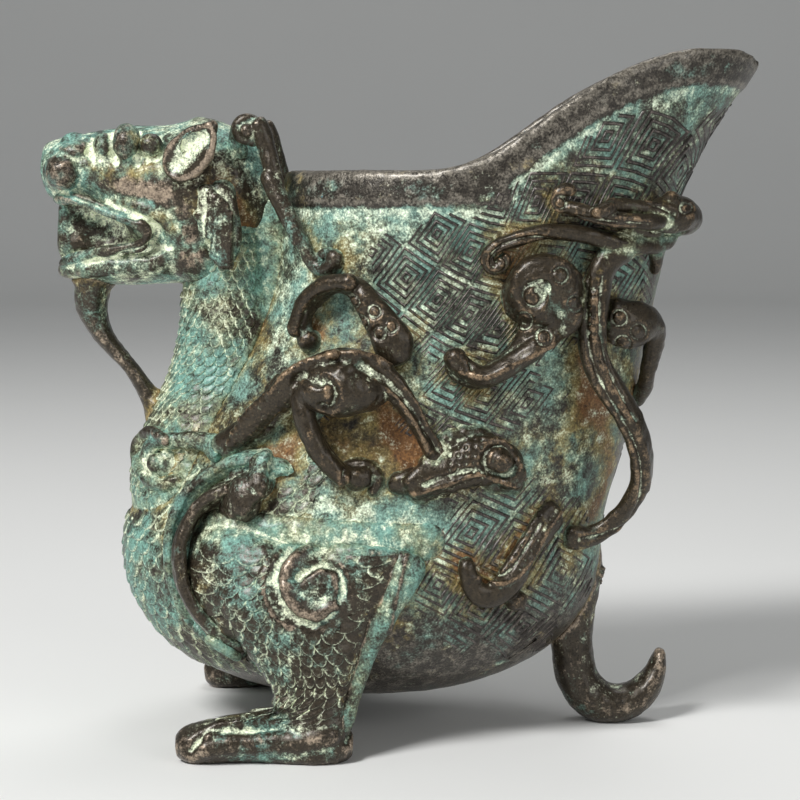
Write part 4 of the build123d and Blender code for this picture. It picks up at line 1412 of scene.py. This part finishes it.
UPPER_SLOPE = curved([(212, 512), (250, 513), (300, 517), (350, 521), (400, 525), (428, 530)])
LOWER_SLOPE = curved([(215, 527), (250, 530), (300, 535), (350, 539), (400, 541), (426, 542)])
INSTEP = curved([(282, 702), (272, 712), (254, 718), (225, 722), (204, 734)])
TOE = curved([(330, 738), (290, 743), (240, 746), (204, 752)])
SPIRAL_RIDGE = curved([
    (392, 556), (354, 552), (321, 549), (295, 559), (285, 581), (294, 604), (314, 614), (334, 606),
])
SPIRAL_GROOVE = curved([
    (299, 577), (320, 565), (339, 572), (343, 594), (333, 611), (315, 626), (290, 614), (277, 590),
    (278, 566), (290, 549),
])
BESIDE_FIN = curved([(402, 556), (388, 610), (378, 656), (362, 706), (348, 742)])
LEG_STROKES = {
    "ridge of the spiral": (SPIRAL_RIDGE, 1.7, 1.2),
    "groove of the spiral": (SPIRAL_GROOVE, 0.75, -1.0),
    "ridge round the spiral": (curved([(267, 562), (263, 588), (272, 614), (290, 628)]), 0.8, 0.6),
    "groove beside the fin": (BESIDE_FIN, 0.8, -0.9),
    "groove of the paw": (curved([(190, 752), (198, 741), (210, 731), (245, 730), (280, 726)]), 0.8, -1.1),
}
INSTEP_EARTH = curved([(215, 722), (245, 716), (270, 706)])
INSTEP_BLOOM = curved([(200, 732), (225, 724), (255, 718)])
FIN_STROKES = {
    "front edge": (curved([(407, 556), (393, 612), (384, 656), (367, 708)]), 0.7, 0.6),
    "rear edge": (curved([(432, 552), (415, 612), (398, 660), (375, 712)]), 0.6, 0.4),
}


def build_forelegs():
    """The forelegs with their haunch spirals."""
    nodes = ["left_foreleg"]
    lumps = (
        rope(laid(["cup"], UPPER_SLOPE, -3.7), 4.0)
        + rope(laid(["cup"], LOWER_SLOPE, -2.4), 4.0)
        + rope(laid(nodes, INSTEP, -1.6), 2.8, 2.2)
        + rope(laid(nodes, TOE, -1.8), 2.8, 2.2)
    )
    skin = cast(nodes, ["cup"], grain=0.42, reach=4.0, swell=1.6, lumps=lumps)
    skin.smooth(10)
    draw_all(skin, nodes, LEG_STROKES)
    keep_worked("worked_foreleg", skin)
    skin = finished(skin, nodes, seed=51)
    skin.marks["green"] -= 0.18
    skin.marks["crevice"] *= 0.5
    stain(skin, "crevice", nodes, INSTEP_EARTH, 2.5, 0.5)
    stain(skin, "recess", ["worked_foreleg"], LOWER_SLOPE, 3.4, 0.7)
    stain(skin, "green", ["worked_foreleg"], LOWER_SLOPE, 4.5, 0.5)
    stain(skin, "recess", ["worked_foreleg"], INSTEP_BLOOM, 2.4, 0.5)
    place_pair("foreleg", skin, "beast_bronze")


def build_legs():
    """The forelegs, their fins and the rear foot."""
    build_forelegs()
    nodes = ["left_leg_fin"]
    skin = cast(nodes, ["cup", "left_foreleg"])
    draw_all(skin, nodes, FIN_STROKES)
    skin = finished(skin, nodes, seed=52)
    skin.marks["crevice"] *= 0.3
    skin.marks["green"] += 0.1
    skin.marks["recess"] += 0.15
    place_pair("leg_fin", skin, "beast_bronze")
    skin = cast(["rear_foot"], ["cup"], grain=0.42, reach=3.0, swell=1.5)
    skin = finished(skin, ["rear_foot"], seed=53)
    skin.marks["green"] -= 0.3
    skin.marks["crevice"] *= 0.5
    place_skin("rear_foot", skin, "beast_bronze", ["rear_foot"])


# The dragons

TORSO, LEG, ARM, TAIL = ["left_side_dragon_" + key for key in ("torso", "lower_leg", "upper_leg", "tail")]
MANTLE = [(339, 353), (282, 379), (243, 422), (225, 454), (236, 452), (263, 437), (286, 408), (310, 380)]
TORSO_LUMPS = {
    "haunch": ((336, 390), (8.2, 5.0, 5.4), -2.4),
    "hip": ((306, 397), (3.4, 3.4, 3.2), -0.8),
    "back": ((341, 375), 1.9, 0.3),
}
LOWER_SHIN = curved([(302, 400), (308, 428), (322, 456), (342, 478)])
LOWER_HEEL = (357, 479)
LOWER_TOES = curved([(345, 468), (358, 464), (372, 468), (378, 480), (374, 491)])
UPPER_PAW = (311, 342)
UPPER_SHIN = curved([(350, 283), (326, 286), (306, 303), (297, 328)])
UPPER_RINGS = ((352, 302), (361, 323), (374, 311), (379, 333), (391, 326))
FLAT_TAIL = [
    (411, 482), (431, 462), (446, 439), (474, 431), (504, 446), (520, 472), (517, 486), (497, 486),
    (480, 478), (451, 486), (418, 496),
]
TAIL_BOSS = (501, 461)
BACK_EDGE = curved([
    (270, 393), (292, 369), (322, 357), (353, 353), (380, 360), (408, 379), (425, 402), (439, 439),
])
BACK_GROOVE = curved([(362, 364), (380, 374), (398, 389), (416, 411), (430, 433), (440, 450)])
HIP_CURL = curved([(294, 382), (300, 375), (314, 379), (330, 382), (335, 396), (330, 409), (322, 408)])
TAIL_HATCH = [[(u, v + k * 8) for v in (440, 446)] for k in range(5) for u in (450, 458, 466, 474, 482)]
SIDE_STROKES = {
    TORSO: {
        "edge of the back": (BACK_EDGE, 0.8, 0.6),
        "edge of the flank": (curved([(376, 380), (398, 398), (416, 424), (429, 452)]), 0.7, 0.5),
        "groove of the back": (BACK_GROOVE, 1.1, -1.1),
        "curl of the hip": (HIP_CURL, 0.9, -1.3),
        "hollow of the hip": ([(313, 377), (318, 380)], 1.5, -0.8),
    },
    LEG: {"between the toes": (curved([(345, 470), (343, 480), (347, 488)]), 0.5, -0.6)},
    ARM: {
        "groove of the shin": (curved([(340, 292), (322, 297), (308, 312), (302, 330)]), 0.8, -0.6),
        **alike("ring", [ring(u, v, 1.3) for u, v in UPPER_RINGS], 0.35, -0.5),
    },
    TAIL: {
        "ring of the boss": (ring(*TAIL_BOSS, 3.3), 0.7, -1.1),
        "lower edge": (curved([(414, 494), (451, 483), (480, 474), (499, 481), (514, 486)]), 0.7, 0.6),
        "lower groove": (curved([(424, 485), (451, 475), (477, 469), (488, 474)]), 0.5, -0.6),
        **alike("hatch", TAIL_HATCH, 0.3, -0.35),
    },
}
NEAR_LEG_LUMPS = {
    "haunch": ((545, 290), (7.4, 4.4, 7.4), -3.0),
    "knee": ((565, 318), (5.0, 3.6, 5.4), -2.4),
}
NEAR_SHIN = curved([(556, 330), (522, 357), (488, 376), (468, 372), (455, 359)])
NEAR_RINGS = ((561, 275), (576, 304), (524, 321), (544, 337))
FAR_RINGS = ((620, 318), (639, 332), (623, 344))
SCROLL_KNOB = (514, 599)
SCROLL_HATCH = [[(504 + 6 * k, 575 - 10 * k), (514 + 6 * k, 580 - 10 * k)] for k in range(7)]
HORN_FORK = curved([(598, 213), (614, 210), (632, 211)])
HORN_GROOVE = curved([(493, 254), (506, 243), (527, 238), (550, 240), (573, 246), (602, 252), (630, 250)])
LOOP_GROOVE = curved([
    (587, 277), (586, 304), (587, 333), (593, 361), (605, 390), (622, 419), (636, 446), (642, 470),
    (640, 500), (626, 524), (604, 535), (580, 540),
])
LOOP_RIDGE = curved([
    (595, 300), (596, 340), (606, 372), (622, 402), (640, 434), (648, 466), (646, 500), (630, 528),
])
SPINE_GROOVE = curved([(603, 277), (601, 308), (603, 338), (609, 365), (620, 392), (636, 420)])
HAUNCH_EDGE = curved([(514, 290), (518, 274), (534, 262), (561, 261), (580, 277)])
KNEE_HOLLOW = curved([(545, 285), (551, 296), (556, 308), (565, 319), (567, 330)])
RIB_HEIGHTS = (288, 297, 306, 315, 324, 333)
REAR_STROKES = {
    "body": {
        "groove of the loop": (LOOP_GROOVE, 0.6, -0.7),
        "ridge of the loop": (LOOP_RIDGE, 0.9, 0.4),
        "groove of the spine": (SPINE_GROOVE, 0.5, -0.7),
        **alike("rib", [[(589, v), (594, v + 1), (600, v)] for v in RIB_HEIGHTS], 0.35, -0.45),
    },
    "head": {
        "brow": (curved([(646, 201), (661, 206), (676, 214)]), 0.5, -0.7),
        "crest": ([(672, 196)], 1.6, 0.9),
        "mouth": (curved([(651, 232), (669, 236), (686, 232)]), 0.5, -0.8),
        "eye": (ring(687, 208, 1.2), 0.4, -0.5),
        "nose": ([(690, 222)], 1.6, 0.6),
    },
    "lower_horn": {
        "groove": (HORN_GROOVE, 0.5, -0.7),
        "curl": (spiral(497, 263, 14, 5, 150, 1.2), 0.45, -0.6),
    },
    "upper_horn": {
        "groove": (curved([(556, 212), (573, 217), (602, 221), (630, 223), (650, 225)]), 0.5, -0.6),
        "ring": (ring(560, 203, 1.3), 0.4, -0.5),
    },
    "near_leg": {
        "edge of the haunch": (HAUNCH_EDGE, 1.2, 0.5),
        "curl of the haunch": (spiral(534, 297, 15, 7, 40, 1.1), 0.6, -0.8),
        "hollow of the knee": (KNEE_HOLLOW, 1.7, -1.3),
        "edge of the shin": (curved([(552, 346), (520, 362), (485, 377), (462, 372)]), 0.8, 0.5),
        "between the toes": (curved([(464, 350), (470, 360), (472, 368)]), 0.5, -0.6),
        **alike("ring", [ring(u, v, 1.6) for u, v in NEAR_RINGS], 0.3, -0.45),
    },
    "far_leg": {
        **alike("ring", [ring(u, v, 1.6) for u, v in FAR_RINGS], 0.3, -0.45),
        **alike("boss", [[place] for place in FAR_RINGS], 0.8, 0.3),
    },
    "chin_tuft": {"strand": (curved([(640, 246), (645, 258), (643, 272)]), 0.4, -0.4)},
    "tail_scroll": {
        "edge": (curved([(478, 578), (500, 584), (524, 570), (548, 530), (562, 510)]), 0.6, 0.6),
        "groove": (curved([(488, 572), (504, 574), (520, 558), (540, 524)]), 0.45, -0.6),
        **alike("hatch", SCROLL_HATCH, 0.28, -0.3),
    },
}
REAR_HOSTS = ["cup", "rear_dragon_body", "rear_dragon_head"]


def worked_dragon(node, hosts, lumps, strokes, seed):
    """One casting of a dragon: swollen by lumps, drawn on and bloomed at its foot."""
    skin = cast([node], hosts, lumps=lumps)
    keep_worked("worked", skin)
    draw_all(skin, ["worked"], strokes)
    skin = finished(skin, [node], seed)
    bloom_at_foot(skin, 1.0)
    return skin


def build_side_dragons():
    """The dragons on the cup's sides."""
    shapes = {
        TORSO: rope(laid([TORSO, "cup"], spread(MANTLE), 0.6), 1.3) + lumps_at([TORSO], TORSO_LUMPS),
        LEG: rope(laid([LEG, "cup"], LOWER_SHIN, 0.0), 2.4, 1.9)
        + lump(["cup"], LOWER_HEEL, 2.4, 1.2)
        + rope(laid(["cup"], LOWER_TOES, 0.5), 1.0),
        ARM: lump(["cup", ARM], UPPER_PAW, 2.3, 1.0) + rope(laid(["cup", ARM], UPPER_SHIN, 0.4), 1.9),
        TAIL: rope(laid([TAIL, "cup"], spread(FLAT_TAIL, 3.0), 0.0), 1.6) + lump([TAIL], TAIL_BOSS, 2.5, 0.3),
    }
    for count, (name, lumps) in enumerate(shapes.items()):
        hosts = ["cup"] if name == TORSO else ["cup", TORSO]
        skin = worked_dragon(name, hosts, lumps, SIDE_STROKES[name], seed=61 + count)
        place_pair(name[len("left_"):], skin, "dragon_bronze")


def build_rear_dragon():
    """The dragon whose tail is the finger loop."""
    near_leg = ["cup", "rear_dragon_near_leg"]
    shapes = {
        "near_leg": lumps_at(near_leg, NEAR_LEG_LUMPS) + rope(laid(near_leg, NEAR_SHIN, 0.2), 2.1, 2.3),
        "tail_scroll": lump(["cup", "rear_dragon_tail_scroll"], SCROLL_KNOB, 2.2, 1.0),
        "upper_horn": rope(laid(["rear_dragon_upper_horn", "cup"], HORN_FORK, 0.6), 1.5),
    }
    for count, (name, strokes) in enumerate(REAR_STROKES.items()):
        node = "rear_dragon_" + name
        hosts = [host for host in REAR_HOSTS if host != node]
        skin = worked_dragon(node, hosts, shapes.get(name, ()), strokes, seed=71 + count)
        place_skin(node, skin, "dragon_bronze", [node])


# Stage. Lamps are a place and a size in metres, and a power in watts.

FLOOR_TINT = (0.84, 0.84, 0.82)
LAMPS = {
    "key_lamp": ((-0.52, -0.64, 0.85), 0.3, 12.5),
    "fill_lamp": ((0.75, -0.75, 0.45), 0.5, 2.0),
    "top_lamp": ((0.10, 0.35, 0.90), 0.4, 1.6),
}
LAMP_AIM = Vector((0, 0, 0.07))
SKY_TINT = (0.9, 0.93, 0.96, 1)
SKY_STRENGTH = 0.2


def plain_finish(name, tint):
    """A matt backdrop with a very faint mottle."""
    material = bpy.data.materials.new(name)
    material.use_nodes = True
    tree = material.node_tree
    shader = tree.nodes["Principled BSDF"]
    shader.inputs["Roughness"].default_value = 0.85
    place = tree.nodes.new("ShaderNodeTexCoord").outputs["Object"]
    mottle = add_node(tree, "ShaderNodeTexNoise", {"Vector": place, "Scale": 6.0, "Detail": 3.0})
    deeper = tuple(0.97 * value for value in tint)
    tree.links.new(mixed(tree, mottle.outputs[0], (*deeper, 1), (*tint, 1)), shader.inputs["Base Color"])
    return material


def build_stage():
    """Pale floor that curves up behind, soft lamps and the camera at the photograph's angle."""
    reach, depth, rise, bend = 3.0, 1.6, 2.2, 0.6
    turns = np.linspace(0, math.pi / 2, 16)
    curve = [(depth + bend * math.sin(turn), bend - bend * math.cos(turn)) for turn in turns]
    outline = [(-reach, 0.0), *curve, (depth + bend, rise)]
    points = [(x, y, z) for y, z in outline for x in (-reach, reach)]
    faces = [(2 * i, 2 * i + 1, 2 * i + 3, 2 * i + 2) for i in range(len(outline) - 1)]
    mesh = new_mesh("floor", points, faces)
    mesh.shade_smooth()
    mesh.materials.append(plain_finish("pale_floor", FLOOR_TINT))
    floor = shown("floor", mesh)
    for name, (place, size, power) in LAMPS.items():
        lamp = bpy.data.lights.new(name, "AREA")
        lamp.energy = power
        lamp.size = size
        light = shown(name, lamp)
        light.location = place
        light.rotation_euler = (LAMP_AIM - light.location).to_track_quat("-Z", "Y").to_euler()
    world = bpy.data.worlds.new("studio")
    world.use_nodes = True
    sky = world.node_tree.nodes["Background"]
    sky.inputs["Color"].default_value = SKY_TINT
    sky.inputs["Strength"].default_value = SKY_STRENGTH
    bpy.context.scene.world = world
    lens = bpy.data.cameras.new("camera")
    lens.lens = LENS
    lens.sensor_width = SENSOR_WIDTH
    camera = shown("camera", lens)
    camera.location = [value * MM for value in EYE_PLACE]
    camera.rotation_euler = (math.pi / 2 - EYE_PITCH, 0, 0)
    bpy.context.scene.camera = camera
    bpy.context.scene.view_settings.view_transform = "Standard"


# Operators and panel


def operator(key, label, words, build):
    """An operator that builds one piece or group of like pieces."""

    def execute(self, context):
        build()
        return {"FINISHED"}

    return type("BRONZECUP_OT_" + key, (bpy.types.Operator,), {
        "__doc__": words,
        "bl_idname": "bronzecup." + key,
        "bl_label": label,
        "execute": execute,
    })


OPERATORS = [
    operator("cup", "Cup", "Cast the cup's wall, lip and band.", build_cup),
    operator("lattice", "Thunder lattice", "Lay the thunder pattern on the cup's wall.", build_lattice),
    operator("neck", "Neck", "Cast the beast's neck.", build_neck),
    operator("head", "Head", "Cast the beast's head and what grows on it.", build_head),
    operator("wings", "Wings", "Cast the folded wings and the breast scrolls.", build_wings),
    operator("legs", "Legs", "Cast the forelegs, their fins and the rear foot.", build_legs),
    operator("scales", "Scales", "Lay scales on the neck, breast and legs.", build_scales),
    operator("side_dragons", "Side dragons", "Cast the dragons on the cup's sides.", build_side_dragons),
    operator("rear_dragon", "Rear dragon", "Cast the dragon with the finger loop.", build_rear_dragon),
    operator("stage", "Stage", "Set the floor, lamps and camera.", build_stage),
]


class BRONZECUP_PT_panel(bpy.types.Panel):
    """Lists what the cup is built from."""

    bl_label = "Bronze cup"
    bl_space_type = "VIEW_3D"
    bl_region_type = "UI"
    bl_category = "Bronze cup"

    def draw(self, context):
        for made in OPERATORS:
            self.layout.operator(made.bl_idname)


CLASSES = [
    CupFinish, LatticeFinish, BeastFinish, DragonFinish, CupSizes, CupSettings, *OPERATORS,
    BRONZECUP_PT_panel,
]


def register():
    for made in CLASSES:
        bpy.utils.register_class(made)
    bpy.types.Scene.bronze_cup = PointerProperty(type=CupSettings)


def unregister():
    del bpy.types.Scene.bronze_cup
    for made in reversed(CLASSES):
        bpy.utils.unregister_class(made)


def main():
    register()
    for made in OPERATORS:
        family, key = made.bl_idname.split(".")
        getattr(getattr(bpy.ops, family), key)()


if __name__ == "__main__":
    main()
